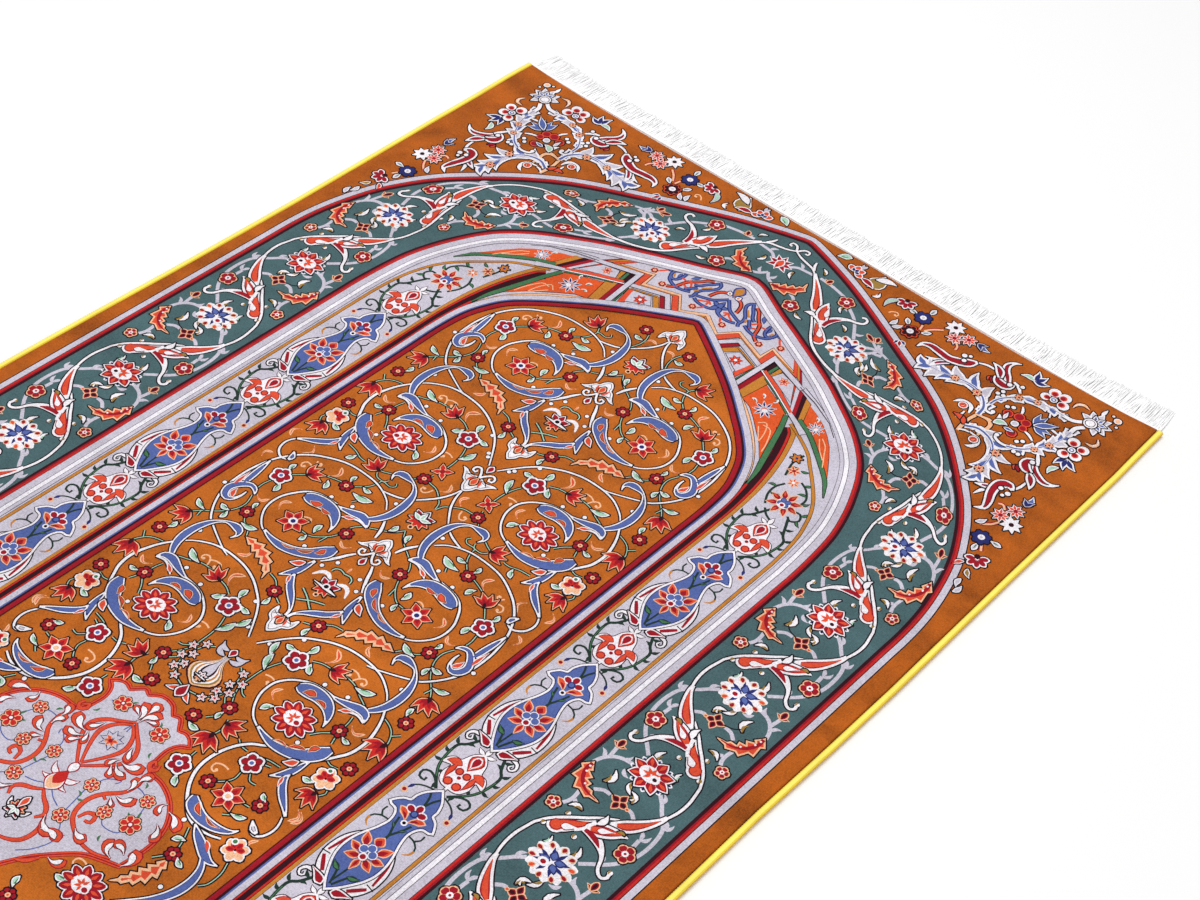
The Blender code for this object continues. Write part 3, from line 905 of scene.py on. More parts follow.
def band_start(chart):
    """What fills the band above its first lotus: the large flower, blossoms and green curls."""
    with chart.placed(258, 401):
        band_flower(chart, 20)
    stems(chart, "moss", 2.8, 3, [(252, 362), (263, 368), (272, 380), (272, 392)],
          [(228, 326), (226, 345), (232, 366)], [(240, 376), (235, 388), (236, 402), (243, 416)],
          [(270, 404), (281, 402), (286, 411), (279, 418), (273, 414)], [(247, 421), (254, 428), (262, 432)])
    for u, v, turn in ((226, 338, -60), (227, 350, 66), (240, 348, 62), (257, 364, 46), (270, 376, 250),
                       (236, 386, 250), (236, 398, 66), (272, 390, 40), (283, 404, 24), (284, 412, 130),
                       (231, 362, 20)):
        chart.leaf(("moss", "green"), u, v, turn, 11, 4.8, 4, 0.14, BLADE, 0.0011)
    for u, v, radius, turn, dyes, eye in ((225, 336, 7, 0, ("ink", "tan", "coral"), "navy"),
                                          (235, 354, 9, 12, ("peach", "coral", "crimson"), "crimson"),
                                          (246, 369, 8, 40, ("peach", "coral", "red"), "ivory")):
        spiky_flower(chart, u, v, radius, dyes, eye, 6, turn, 6)


def cartouche_band(chart):
    """Cartouches and lotus palmettes by turns, down each side and across the foot."""
    with chart.thousandths(lift=4):
        for index in range(5):
            v = FIRST_CARTOUCHE + BAND_PERIOD * index
            if index < 4:
                with chart.placed(BAND_MIDDLE, v):
                    cartouche(chart)
            with chart.placed(BAND_MIDDLE, v - 61):
                lotus(chart)
                halves(chart, scroll_half)
        band_start(chart)
        # across the foot: a corner flower, then one cartouche each way from a flower in the middle
        with chart.placed(BAND_MIDDLE, BAND_FOOT):
            band_flower(chart, 21.5)
            for turn in (45, 135, 225, 315):
                with chart.placed(0, 0, 1.0, turn):
                    stems(chart, "moss", 2.6, 3, [(0, -20), (3, -27), (0, -33)])
                    for side in (-40, 40):
                        chart.leaf(("moss", "green"), 0, -22, side, 12, 5, 4, 0.1, BLADE, 0.0011)
        with chart.placed(30, BAND_FOOT, 0.92, turn=-90):
            cartouche(chart)
        with chart.placed(227, BAND_FOOT, 0.92, turn=90):
            lotus(chart)
            halves(chart, scroll_half)
        with chart.once():
            with chart.placed(0, BAND_FOOT):
                band_flower(chart, 20.5)


# ---------------------------------------------------------------- panels between the niche and the arch


def strap(chart, dye, rows, width, level, edge="ink"):
    """A band of colour between the panels: straight and mitred, or one smooth sweep through many points."""
    rows = np.array(rows, float)
    widths = np.interp(np.linspace(0, 1, len(rows)), np.linspace(0, 1, np.size(width)), np.ravel(width))
    rows = np.column_stack([rows, widths])
    if len(rows) > 4:
        rows = smooth(rows, chart.own(0.006))
    legs = np.diff(rows[:, :2], axis=0)
    legs /= np.linalg.norm(legs, axis=1)[:, None]
    normals = np.stack([-legs[:, 1], legs[:, 0]], axis=1)
    before = np.vstack([normals[:1], normals])
    after = np.vstack([normals, normals[-1:]])
    across = (before + after) / (1.0 + np.sum(before * after, axis=1))[:, None]
    if edge:
        half = rows[:, 2:] / 2 + chart.own(0.0008)
        chart.band(edge, rows[:, :2] - across * half, rows[:, :2] + across * half, level)
    half = rows[:, 2:] / 2
    chart.band(dye, rows[:, :2] - across * half, rows[:, :2] + across * half, level + 1)


def panel(chart, dye, corners, level):
    """A flat patch with a dark line round it."""
    chart.patch((("ink", -0.0008), (dye, 0.0)), corners, level)


def orange_flower(chart, u, v, radius, level):
    """A dark flower with pale tips round a white middle, on an orange panel."""
    with chart.placed(u, v, radius):
        chart.petals(("ivory", "navy"), 9, 0.30, 0.74, 0.32, level, shape=POINTED, rim=0.0008)
        chart.petals(("grey",), 9, 0.18, 0.40, 0.16, level + 3, 20.0, shape=POINTED)
        chart.disc("ivory", 0.10, 0.10, 0.24, level + 4, count=8)


def muqarnas(chart):
    """The zigzag of small panels that carries the vault of the niche, in thousandths of the rug's width."""
    with chart.thousandths():
        strap(chart, "peach", [(0, 221), (29, 240.5), (46.5, 218)], 4.4, 6)
        strap(chart, "peach", [(29, 240.5), (46.5, 218), (91, 234.5), (93.5, 212.5)], 4.4, 6)
        strap(chart, "peach", [(91, 234.5), (93.5, 212.5), (134, 227)], 4.4, 6)
        for rows in ([(0, 225.8), (30, 246)], [(48, 222), (95, 239.5)], [(100, 217.5), (142, 230)]):
            strap(chart, "tan", rows, 1.6, 7, "crimson")
        # the first fold: coral, pale, crimson and tan round a pale panel with a star
        panel(chart, "coral", [(46.5, 220), (53, 223), (33.5, 248.5), (27.5, 244)], 8)
        panel(chart, "crimson", [(56, 232.5), (61.5, 236), (46, 255), (40.5, 252)], 8)
        panel(chart, "tan", [(62, 238.5), (69, 241), (54, 258.5), (47.5, 256)], 8)
        strap(chart, "grey", [(36, 253), (56, 229), (102, 247)], 6.0, 10)
        strap(chart, "tan", [(63, 239.5), (96, 251.5)], 1.8, 9)
        panel(chart, "grey", [(69, 245), (91, 252), (86, 274), (58.5, 258)], 12)
        panel(chart, "coral", [(91.5, 251.5), (96.5, 253.5), (91, 282), (85, 276)], 12)
        strap(chart, "green", [(98.5, 252), (93.5, 288)], 1.2, 12)
        strap(chart, "white", [(50, 259), (97, 290)], 2.4, 12)
        # the second fold, under the pale strap that turns at its peak
        panel(chart, "coral", [(94, 214.5), (101, 217.5), (98.5, 242), (92.5, 239.5)], 8)
        panel(chart, "maroon", [(107, 227), (114, 230.5), (112, 249), (106, 247)], 8)
        panel(chart, "green", [(114.5, 231), (118, 232.5), (116, 249), (112.5, 247.5)], 9)
        panel(chart, "tan", [(119.5, 232.5), (125, 234.5), (122.5, 251), (118, 249)], 9)
        panel(chart, "grey", [(126.5, 236.5), (148.5, 242), (165, 270), (121.5, 250)], 10)
        strap(chart, "coral", [(149.5, 241), (165.5, 268)], 2.6, 11)
        panel(chart, "crimson", [(106.5, 251), (112.5, 254), (108.5, 303), (101.5, 300)], 10)
        panel(chart, "tan", [(113, 255), (125.5, 263), (119, 307), (108.5, 303)], 10)
        panel(chart, "orange", [(126, 266.5), (150, 277), (171, 288), (181, 305), (189, 330), (198, 362),
                                (199, 371), (180, 347), (150, 320), (135, 308), (120, 303)], 11)
        strap(chart, "coral", [(109, 249), (140, 262.5), (174, 283)], 5.6, 13)
        strap(chart, "green", [(118, 257.5), (145, 270.5), (172, 286.5)], 3.0, 13)
        strap(chart, "white", [(106, 250.5), (140, 267), (178, 287.5)], 1.4, 15)
        # what comes down from the arch and crosses it
        panel(chart, "coral", [(120, 205.5), (127, 208.5), (144, 231), (138, 230)], 8)
        panel(chart, "tan", [(127, 208.5), (132, 211.5), (149, 233), (144, 231)], 9)
        panel(chart, "crimson", [(132, 211.5), (136, 213.5), (155, 236), (149, 233)], 9)
        strap(chart, "grey", [(152, 238), (164, 260), (178, 287)], 5.6, 12)
        panel(chart, "crimson", [(158, 244), (165, 247), (183, 287), (177, 285)], 13)
        panel(chart, "maroon", [(165, 247), (172, 250), (188, 286), (183, 287)], 13)
        panel(chart, "tan", [(173, 251), (182, 255), (193.5, 285), (188, 287)], 13)
        panel(chart, "orange", [(183, 257), (196, 263), (212, 271.5), (226, 282), (239, 295), (250, 310),
                                (260, 325), (271, 341), (250, 325), (225, 305), (195, 286)], 12)
        strap(chart, "green", [(188, 284), (212, 296), (235, 313), (253, 327.5), (268, 341), (275, 350.5),
                               (283.5, 364)],
              (4.6, 5.0, 5.0, 4.8, 4.4, 3.6, 0.6), 14)
        strap(chart, "green", [(173, 289), (182, 311), (191, 339), (199.5, 365), (206, 385), (210.5, 408)],
              (5.0, 6.0, 6.6, 6.4, 5.0, 1.0), 13)
        strap(chart, "grey", [(99, 298), (104.5, 223.5), (160, 242.5)], 6.2, 16)
        strap(chart, "grey", [(174, 284), (190, 292), (206, 301)], (5.0, 6.0, 8.0), 15)
        for rows in ([(156, 241), (185, 250), (216, 264), (234, 279)], [(160, 236), (186, 246), (206, 255)]):
            strap(chart, "ink", rows, 1.0, 17, None)
        strap(chart, "peach", [(108, 300.5), (135, 318.5), (160, 340), (180, 361.5), (195, 384), (205, 407),
                               (212, 436)],
              (8.0, 8.0, 8.0, 7.6, 7.0, 4.6, 0.8), 16)
        spiky_flower(chart, 74, 259, 9.0, ("crimson", "coral"), "ivory", 14, 0.0, 7)
        spiky_flower(chart, 137, 247, 7.6, ("coral", "peach"), "crimson", 14, 0.0, 6)
        orange_flower(chart, 150, 300, 14.0, 14)
        orange_flower(chart, 211, 283, 10.5, 14)
        for u, v, turn in ((138, 286, -40), (136, 296, -80), (150, 284, 8), (206, 273, -40)):
            mint_leaf(chart, u, v, 8.5, turn, 14, dyes=("ivory", "grey"))
        for rows in ([(158, 322), (166, 316), (174, 330), (177, 345), (171, 338), (162, 326)],
                     [(165, 321), (176, 322), (186, 342), (190, 356)],
                     [(226, 290), (236, 298), (244, 311), (254, 327)], [(224, 293), (234, 306), (247, 318)]):
            chart.line("peach", rows, 14, width=1.3)
        arabesque(chart)


def arabesque(chart):
    """Blue, coral and tan loops in the pale compartment under the point of the arch."""
    with chart.once():
        with chart.placed(0, 172):
            chart.leaf(("navy", "blue", "tan"), 0, 2, 0, 25, 17, 6, 0.0, SPEAR, 0.0014)
            for side in (-1, 1):
                chart.leaf(("navy", "ivory", "tan"), side * 3, 2, side * 34, 11, 10, 6, side * 0.1, BLADE,
                           0.0018)
        with chart.placed(0, 199):
            chart.petals(("navy", "blue"), 5, 1, 12, 8, 6, shape=POINTED)
    for rows in ([(0, 180), (5, 186), (12, 194), (20, 198), (30, 202), (35, 203)],
                 [(42, 203), (50, 207), (60, 209), (68, 207), (75, 203), (78, 198)],
                 [(28, 163), (23, 167), (22, 174), (27, 183), (33, 190), (36, 198), (35, 206), (38, 211)],
                 [(27, 166), (31, 172), (36, 178), (41, 186), (47, 190)],
                 [(40, 191), (44, 196), (47, 200), (52, 203)],
                 [(1, 203), (4, 208), (10, 211), (18, 212), (26, 211), (32, 208)],
                 [(66, 181), (66, 190), (69, 198), (74, 200), (79, 196), (80, 188), (74, 182)]):
        chart.line("blue", rows, 6, width=2.3, edge="navy")
    for rows in ([(8, 172), (13, 174), (17, 178), (20, 186), (21, 193)],
                 [(33, 167), (40, 172), (44, 178), (49, 184), (55, 190), (58, 197), (60, 204), (62, 210),
                  (70, 216)],
                 [(12, 211), (15, 216), (19, 221)], [(86, 190), (91, 197), (95, 201)],
                 [(47, 196), (52, 189), (56, 187)], [(48, 203), (54, 199), (57, 199)], [(59, 191), (65, 190)],
                 [(10, 204), (15, 200), (19, 204), (26, 208)], [(15, 200), (14, 208)]):
        chart.line("coral", rows, 5, width=2.8, edge="maroon" if rows[0][0] in (8, 33) else None)
    for rows in ([(28, 178), (33, 184), (37, 188)], [(37, 193), (40, 199)], [(77, 190), (74, 196)]):
        chart.line("tan", rows, 8, width=2.6)
    for u, v, turn, length, wide in ((49, 173, 145, 14, 6.4), (70, 184, 180, 11, 4.6), (82, 191, 60, 8, 6),
                                     (3, 201, -30, 11, 7)):
        chart.leaf(("navy", "blue"), u, v, turn, length, wide, 9, 0.0, BLADE, 0.0010)
    for u, v in ((23, 222), (75, 217), (98, 204)):
        with chart.placed(u, v, 5.8):
            chart.petals(("peach", "crimson"), 6, 0.14, 0.84, 0.86, 8, rim=0.0007)
            chart.disc("peach", 0.0, 0.0, 0.40, 10)
            chart.disc("coral", 0.0, 0.0, 0.18, 11, count=7)
# ---------------------------------------------------------------- the corners outside the arch


def acanthus(chart, rows, width, lobes, hands=(-1, 1), florets=(), level=5):
    """A long pale leaf of many pointed lobes, with a blue vein and coral florets on it."""
    curve = smooth(rows, 2.0)
    along = sideways(curve)[1]
    share = np.linspace(0.0, 1.0, len(curve))
    reach = profile((0.30, 0.85, 1.0, 0.95, 0.8, 0.6), len(curve)) * width
    chart.ribbon("ivory", np.column_stack([curve, reach * 0.4]), level + 2)
    spacing = len(curve) * 2.0 / lobes
    for index in range(lobes):
        for hand in hands:
            at = (index + (0.62 if hand > 0 else 0.2)) / lobes
            u, v, du, dv, length = (float(np.interp(at, share, column)) for column in
                                    (curve[:, 0], curve[:, 1], along[:, 0], along[:, 1], reach))
            turn = math.degrees(math.atan2(du, -dv)) + hand * 36.0
            heart = "grey" if index % 2 else "blue"
            chart.leaf(("ink", "ivory", heart), u, v, turn, length * 1.12, spacing * 0.80, level,
                       hand * -0.18, BLADE, 0.0027 if heart == "grey" else 0.0036)
    taper = np.linspace(width * 0.26, 0.6, len(rows))
    chart.line("ivory", rows, level + 5, width=taper)
    chart.line("blue", rows, level + 6, width=taper * 0.45)
    for u, v, radius in florets:
        chart.disc("ink", u, v, radius, level + 10)
        spiky_flower(chart, u, v, radius + 0.5, ("peach", "coral"), "crimson", level + 11, 10.0, 6)


def round_flower(chart, eye, *petals, level=12):
    """Four round white petals with red hearts about a blue eye: each petal is its place and radius."""
    for u, v, radius in petals:
        chart.disc("ink", u, v, radius + 1.2, level, count=12)
    for u, v, radius in petals:
        chart.disc("ivory", u, v, radius, level + 2, count=12)
        root = (np.array(eye) - (u, v)) * 0.16
        chart.disc("coral", u + root[0], v + root[1], radius * 0.60, level + 4, count=10)
        chart.disc("crimson", u + root[0] * 1.3, v + root[1] * 1.3, radius * 0.42, level + 5)
    chart.dot(("ink", "ivory", "blue", "ivory"), eye[0], eye[1], 6.4, level + 7)


def red_lobes(chart, *lobes, level=8):
    """White-rimmed dark red lobes, one over another."""
    for index, rows in enumerate(lobes):
        cased(chart, rows, level + 4 * index, heart="crimson", rim=0.0026, inner_line="maroon")


def snail(chart, rows, u, v, level=6):
    """A white crescent that holds a coral ball."""
    chart.line("ivory", rows, level, edge="ink")
    for place, (dye, radius) in enumerate((("ink", 7.0), ("ivory", 6.0), ("coral", 4.6))):
        chart.disc(dye, u, v, radius, level + 2 + place, count=10)
    chart.leaf(("crimson", "peach"), u - 2, v + 3, 30, 7, 3.0, level + 5, 0.2, BLADE, 0.0008, 5)


def whorl(chart, u, v, radius, dyes, leaves):
    """A round flower of seven petals with leaves round it: each leaf is its place and turn."""
    for leaf_u, leaf_v, turn in leaves:
        mint_leaf(chart, leaf_u, leaf_v, 14, turn, 4, 0.0, 0.52, dyes=("ink", "ivory", "grey"))
    with chart.placed(u, v, radius):
        chart.petals(dyes, 7, 0.15, 0.85, 0.72, 6, rim=0.0012)
        chart.disc("ivory", 0.0, 0.0, 0.38, 9)
        chart.disc("grey", 0.0, 0.0, 0.18, 10, count=7)


def half_flower(chart, u, v, turn, size=13):
    """A fan of five white-rimmed petals."""
    with chart.placed(u, v, size, turn):
        chart.petals(("ink", "ivory", "crimson"), 5, 0.05, 0.95, 0.66, 5, sweep=190.0, rim=0.0016)
        chart.disc("maroon", 0.0, 0.25, 0.26, 9, count=8)


def corner_sprays(chart):
    """The two great sprays that part at the knot in the corner's middle."""
    chart.line("peach", [(325, 165), (324, 152), (324, 140), (327, 125)], 4, width=(4, 5, 4, 5), edge="ink")
    chart.line("peach", [(326, 127), (334, 125.5), (343, 125), (348, 133), (347, 145), (346, 156)], 5,
               width=(4, 3.4, 6, 4.6, 4.4, 3), edge="ink")
    chart.leaf(("ink", "coral"), 325, 148, -78, 20, 8, 6, 0.1, BLADE, RIM, 5)
    chart.leaf(("ink", "coral"), 324, 152, -30, 13, 6, 7, 0.0, BLADE, RIM, 5)
    acanthus(chart, [(327, 126), (325, 112), (315, 99), (299, 91), (278, 92), (256, 98), (232, 101)], 29, 7,
             florets=((273, 95, 5.5), (305.5, 97, 6.5)))
    acanthus(chart, [(327, 153), (341, 146), (357, 149), (369, 158), (377, 172), (380, 190), (383, 212)], 28,
             7, florets=((378, 165.5, 6.2), (379, 200, 6.4)))
    acanthus(chart, [(327, 101), (329, 88), (338, 74), (350, 63), (366, 57), (384, 55), (400, 55)], 19, 6,
             (1,), florets=((345, 67.5, 5.4), (365, 58.5, 5.0)))
    acanthus(chart, [(380, 147), (392, 141), (403, 129), (411, 116), (417, 101), (420, 86), (420, 72)], 20, 6,
             (-1, 1), florets=((406, 128, 4.6), (414.5, 110, 5.2)))
    for rows, width in (([(398, 55), (410, 54.5), (420, 48), (424, 42)], 5.4),
                        ([(420, 74), (420.5, 64), (427, 54)], 5.4),
                        ([(327, 102), (326, 108), (330, 114), (337, 114), (338, 109)], 3.4),
                        ([(382, 146), (372, 147.5), (363, 144), (361, 138)], 3.4)):
        chart.line("ivory", rows, 9, width=width, edge="ink")
    for u, v in ((337, 110), (362, 139), (326, 72), (323, 79), (330, 78), (344, 90), (350, 86), (384, 131),
                 (389, 126), (391, 148), (397, 148), (338, 49)):
        chart.dot(("ink", "ivory"), u, v, 4.4, 10)
    round_flower(chart, (376, 41), (370.5, 29, 7.6), (384.5, 28.5, 7.6), (365.5, 42, 6.4), (389.5, 42, 7.4))
    round_flower(chart, (437, 98), (432, 85, 7.6), (447, 89, 7.2), (446, 104, 7.2), (433, 110, 7.0))
    # the lotus in the far corner
    with chart.placed(432, 40, 19, 40):
        chart.petals(("ink", "ivory", "grey"), 7, 0.25, 0.85, 0.50, 5, sweep=230.0, shape=BLADE, rim=0.0020)
        chart.petals(("ink", "ivory", "blue"), 4, 0.20, 0.55, 0.34, 8, 10.0, 150.0, POINTED, rim=0.0016)
    chart.leaf(("ink", "ivory"), 430, 22, 4, 13, 5, 4, 0.0, BLADE)
    for dye, radius, level in (("ink", 9.6, 12), ("ivory", 8.2, 13), ("maroon", 6.4, 14), ("ivory", 5.4, 15)):
        chart.disc(dye, 428, 44, radius, level, count=12)
    for u, v, radius in ((449, 17, 6.6), (441, 13, 3.4), (453, 27, 3.4)):
        chart.dot(("ink", "ivory", "peach"), u, v, radius, 6)
    # the red palmette and the blue leaf between the arms
    for u, v, radius in ((351, 99, 8), (377, 108, 7), (372, 124, 8), (375, 98, 8), (364, 95, 8.6)):
        chart.dot(("ink", "coral", "crimson"), u, v, radius, 5)
    chart.leaf(("maroon", "ivory", "grey"), 352, 112, -6, 16, 8, 9, 0.0, BLADE, 0.0014)
    chart.dot(("ink", "ivory", "grey"), 366, 108, 6.6, 9)
    chart.leaf(("ink", "ivory", "blue"), 360, 122, 84, 13, 6, 9, 0.0, BLADE, 0.0012)
    chart.leaf(("ink", "ivory"), 350, 124, -18, 18, 7, 8, 0.1, BLADE)
    chart.leaf(("ink", "ivory", "mint"), 347, 125, 60, 17, 10, 10, -0.2, BLADE, 0.0016)
    vine(chart, [(357, 77), (361, 83), (363, 90)], 4, 3)
    vine(chart, [(381, 110), (388, 112), (396, 117)], 4, 3)
    with chart.placed(383, 95, 26, 50):
        chart.petals(("ink", "ivory", "blue"), 6, 0.05, 0.85, 0.34, 5, sweep=120.0, shape=POINTED, rim=0.0012)
        chart.leaf(("ink", "ivory", "blue"), 0.0, 0.0, 0.0, 1.15, 0.40, 8, 0.0, POINTED, 0.0012)
        chart.leaf(("ink", "ivory"), 0.0, 0.02, 52.0, 0.72, 0.20, 4, -0.20, BLADE)
    vine(chart, [(386, 63), (389, 70)], 4, 3)
    vine(chart, [(400, 85), (406, 86), (412, 87)], 4, 3)
    snail(chart, [(294, 128, 1), (299, 121, 5), (307, 118, 4), (315, 122, 5), (318, 132, 2)], 306, 126)
    snail(chart, [(337, 157, 2), (350, 160, 4), (354, 168, 5), (351, 176, 5), (345, 179, 1)], 347, 165)
    vine(chart, [(313, 133), (313, 140), (311, 148)], 4, 2.6)
    vine(chart, [(325, 163), (331, 159), (338, 158)], 4, 2.6)


def red_leaves(chart):
    """White-rimmed dark red leaves beside the sprays."""
    vine(chart, [(326, 49), (334, 52), (342, 60)], 5, 4)
    red_lobes(chart, [(315, 16, 1), (308, 21, 5), (304.5, 30, 9), (308, 39, 9.6), (315, 47, 9.6),
                      (321, 55, 8)],
              [(305, 55, 6), (311, 61, 12), (320, 63, 13), (326.5, 60, 10), (328, 53.5, 5)],
              [(289, 38, 1), (298, 41, 8), (305, 47, 11), (310, 55, 6)])
    vine(chart, [(413, 131), (419, 140), (424, 149)], 5, 4)
    red_lobes(chart, [(458, 156, 1), (452, 162, 5), (443, 165, 9), (434, 162, 9.6), (426, 157, 9.6),
                      (421, 150, 7)],
              [(425, 163, 6), (417, 161, 12), (411, 155, 13), (411, 147.5, 10), (416, 142.5, 5)],
              [(437, 186, 1), (434, 178, 8), (429, 171, 11), (423, 165, 6)])
    for u, v in ((325, 57), (416, 147)):
        chart.dot(("maroon", "ivory"), u, v, 4.8, 20)
    vine(chart, [(276, 52), (288, 47), (303, 47.5)], 5, 3)
    vine(chart, [(424, 202), (428, 190), (429, 176)], 5, 3)
    chart.line("ivory", [(226, 89, 1), (235, 86, 4), (244, 80, 5)], 5, edge="ink")
    chart.line("ivory", [(404, 217, 4), (399, 226, 4.6), (396, 236, 1)], 5, edge="ink")
    cased(chart, [(253, 77, 5), (246, 83, 7.4), (241, 91, 6.4), (239, 99, 1)], 6, heart="crimson", rim=0.0020)
    cased(chart, [(407, 211, 5), (399, 217, 7.4), (388, 222, 1)], 6, heart="crimson", rim=0.0020)
    red_lobes(chart, [(208, 81, 1), (211, 72, 7), (221, 68, 10.5), (235, 70.5, 12), (248, 72, 12.6),
                      (260, 67.5, 14), (270, 59.5, 14), (276, 52, 5)])
    red_lobes(chart, [(408, 253, 1), (416.5, 246, 7), (415, 235, 10.5), (410, 222, 12), (408, 209, 13),
                      (411, 200, 14), (419, 196.5, 11), (425, 201, 4)])
    for u, v, radius in ((263, 62, 4.6), (414, 208, 4.6), (258, 53, 5), (264, 49, 4), (424, 209, 5),
                         (421, 216, 4)):
        chart.dot(("ink", "ivory"), u, v, radius, 14)


def stray_flowers(chart):
    """Small flowers along the head and the side."""
    for u, v, radius, dyes, eye, turn in (
        (222, 20, 13, ("ink", "ivory"), "maroon", 0), (232, 37, 11, ("ink", "ivory", "coral"), "crimson", 20),
        (246, 27, 11, ("ink", "ivory", "coral"), "crimson", 5),
        (446, 226, 11, ("ink", "ivory", "coral"), "crimson", 0),
        (437, 243, 11, ("ink", "ivory", "coral"), "crimson", 20),
        (454, 247, 13, ("ink", "ivory"), "maroon", 8),
    ):
        spiky_flower(chart, u, v, radius, dyes, eye, 5, turn, 8)
    for rows in ([(214, 34), (205, 42), (198, 52)], [(237, 41), (243, 47), (244, 53)], [(191, 45), (193, 54)],
                 [(442, 253), (437, 262), (428, 270)], [(436, 233), (430, 227), (425, 229)],
                 [(447, 294), (452, 303)]):
        chart.line("peach", rows, 4, width=2.6, edge="crimson")
    for u, v, turn in ((257, 24, 98), (449, 212, -4)):
        chart.leaf(("ink", "ivory", "blue"), u, v, turn, 20, 9, 5, 0.1, POINTED, 0.0014)
        for side in (-1, 1):
            chart.leaf(("ink", "grey", "navy"), u, v, turn + side * 32, 13, 7, 6, side * -0.1, POINTED,
                       0.0012)
    for u, v, turn, pale_u, pale_v, pale_turn in ((341, 30, 30, 342, 30, -96),
                                                  (442, 113, 165, 442, 132, 196)):
        for spread in (-42, 0, 42):
            chart.leaf(("ink", "ivory", "navy"), u, v, turn + spread, 20, 10, 6, 0.1, POINTED, 0.0020)
        chart.leaf(("ink", "ivory", "mint"), pale_u, pale_v, pale_turn, 18, 8, 5, 0.2, BLADE, 0.0016)
    for rows in ([(399, 35, 1), (400, 27, 4), (406, 22, 4.6), (415, 24, 1)],
                 [(449, 60, 1), (453, 67, 4), (450, 74, 4.6), (441, 75, 1)]):
        chart.line("peach", rows, 4, edge="maroon")
        chart.line("ivory", rows[:-1], 6, width=(0.4, 1.6))
    for u, v, turn in ((302, 60, 150), (406, 163, 140)):
        bud(chart, u, v, 10, turn, ("ink", "coral"), 5)
    whorl(chart, 184, 34, 11, ("ink", "navy"), ((186, 24, 4), (176, 33, -86)))
    whorl(chart, 187, 66, 12, ("ink", "coral", "maroon"), ((179, 58, -40), (197, 59, 48)))
    whorl(chart, 441, 286, 11, ("ink", "navy"), ((451, 283, 90), (443, 295, 175)))
    half_flower(chart, 153, 25, 160)
    half_flower(chart, 456, 316, 150, 14)
    mint_leaf(chart, 40, 16, 19, 60, 5, -0.1, 0.60)
    chart.leaf(("ink", "ivory", "olive"), 100, 36, 12, 32, 24, 5, 0.1, BLADE)
    chart.leaf(("ink", "ivory"), 101, 18, 70, 27, 10, 7, -0.1, BLADE)
    with chart.placed(73, 26, 15, 24):
        chart.petals(("ink", "ivory", "coral"), 4, 0.10, 0.90, 0.66, 6, sweep=150.0, rim=0.0016)
        chart.petals(("ivory", "navy"), 3, 0.05, 0.50, 0.40, 9, sweep=120.0, rim=0.0010)
    for turn in (-14, 14):
        chart.leaf(("ink", "grey"), 77, 16, turn, 11, 4.2, 5, 0.0, SPEAR, RIM, 5)
    chart.leaf(("ink", "ivory", "crimson"), 86, 29, 105, 24, 10, 6, -0.1, BLADE)
    curl_leaf(chart, 116, 46, 12, 20, 5, 0.35, "ivory")
    chart.leaf(("ink", "grey", "mint"), 145, 28, 200, 24, 8, 5, 0.2, BLADE)
    hook(chart, "peach", 148, 56, 12, 20, 4)
    for u, v, turn, dye in ((161, 72, 10, "grey"), (166, 74, 40, "grey"), (422, 270, 35, "grey"),
                            (457, 335, 140, "olive"), (460, 352, 170, "grey"), (464, 374, 10, "grey"),
                            (448, 329, 210, "coral")):
        chart.leaf(("ink", "ivory", dye), u, v, turn, 14, 7, 5, 0.12, POINTED, 0.0012, 6)
    bud(chart, 188, 88, 13, 150, ("ivory", "navy"), 5)


def spandrels(chart):
    """The flower sprays in the corners between the arch and the head of the rug."""
    with chart.thousandths():
        corner_sprays(chart)
        red_leaves(chart)
        stray_flowers(chart)
# ---------------------------------------------------------------- the scrolls of the saffron field

FIELD_PERIOD = 351.5  # thousandths of the rug's width, like all that follows
LOWER_DRIFT = 3.5  # the lower scroll stands a little higher in its second repeat
VINE = 2.1  # width of the field's white vines
VINE_TAPER = np.array([0.7, 1.0, 1.15, 1.15, 1.0, 0.7])


def cased(chart, rows, level, heart="blue", rim=0.0015, spots=(), inner_line="navy"):
    """A leaf or comma with a dark line, a white rim and a heart of colour along rows of u, v and width."""
    curve = smooth(rows, chart.own(CURVE_STEP))
    chart.ribbon("ink", curve, level, INK_EDGE)
    chart.ribbon("ivory", curve, level + 1)
    for place, (dye, back) in enumerate(((inner_line, rim), (heart, rim + 0.0006))):
        inner = curve.copy()
        inner[:, 2] -= 2 * chart.own(back)
        keep = inner[:, 2] > chart.own(0.0005)
        runs = np.split(np.arange(len(keep)), np.flatnonzero(np.diff(keep.astype(int))) + 1)
        for run in runs:
            if keep[run[0]] and len(run) > 2:
                chart.ribbon(dye, inner[run], level + 2 + place)
    for dye, u, v, turn, length, width in spots:
        chart.leaf(("peach", "maroon", dye), u, v, turn, length, width, level + 4, 0.15, BLADE, 0.0008, 6)


def vine(chart, points, level=3, width=VINE, edge="ink"):
    """A white thread of the scrolls, a little thinner at its ends."""
    chart.line("ivory", points, level, width=VINE_TAPER * width, edge=edge)


def stalk(chart, *paths, level=2, width=1.0):
    """The thin grey-green stems of the small flowers."""
    for points in paths:
        chart.line("mint", points, level, width=width, edge="ink")


def knobs(chart, *places, level=4):
    """White dots that sit on the vines."""
    for u, v in places:
        chart.disc("ink", u, v, 3.5, level)
        chart.disc("ivory", u, v, 2.5, level + 1, count=8)


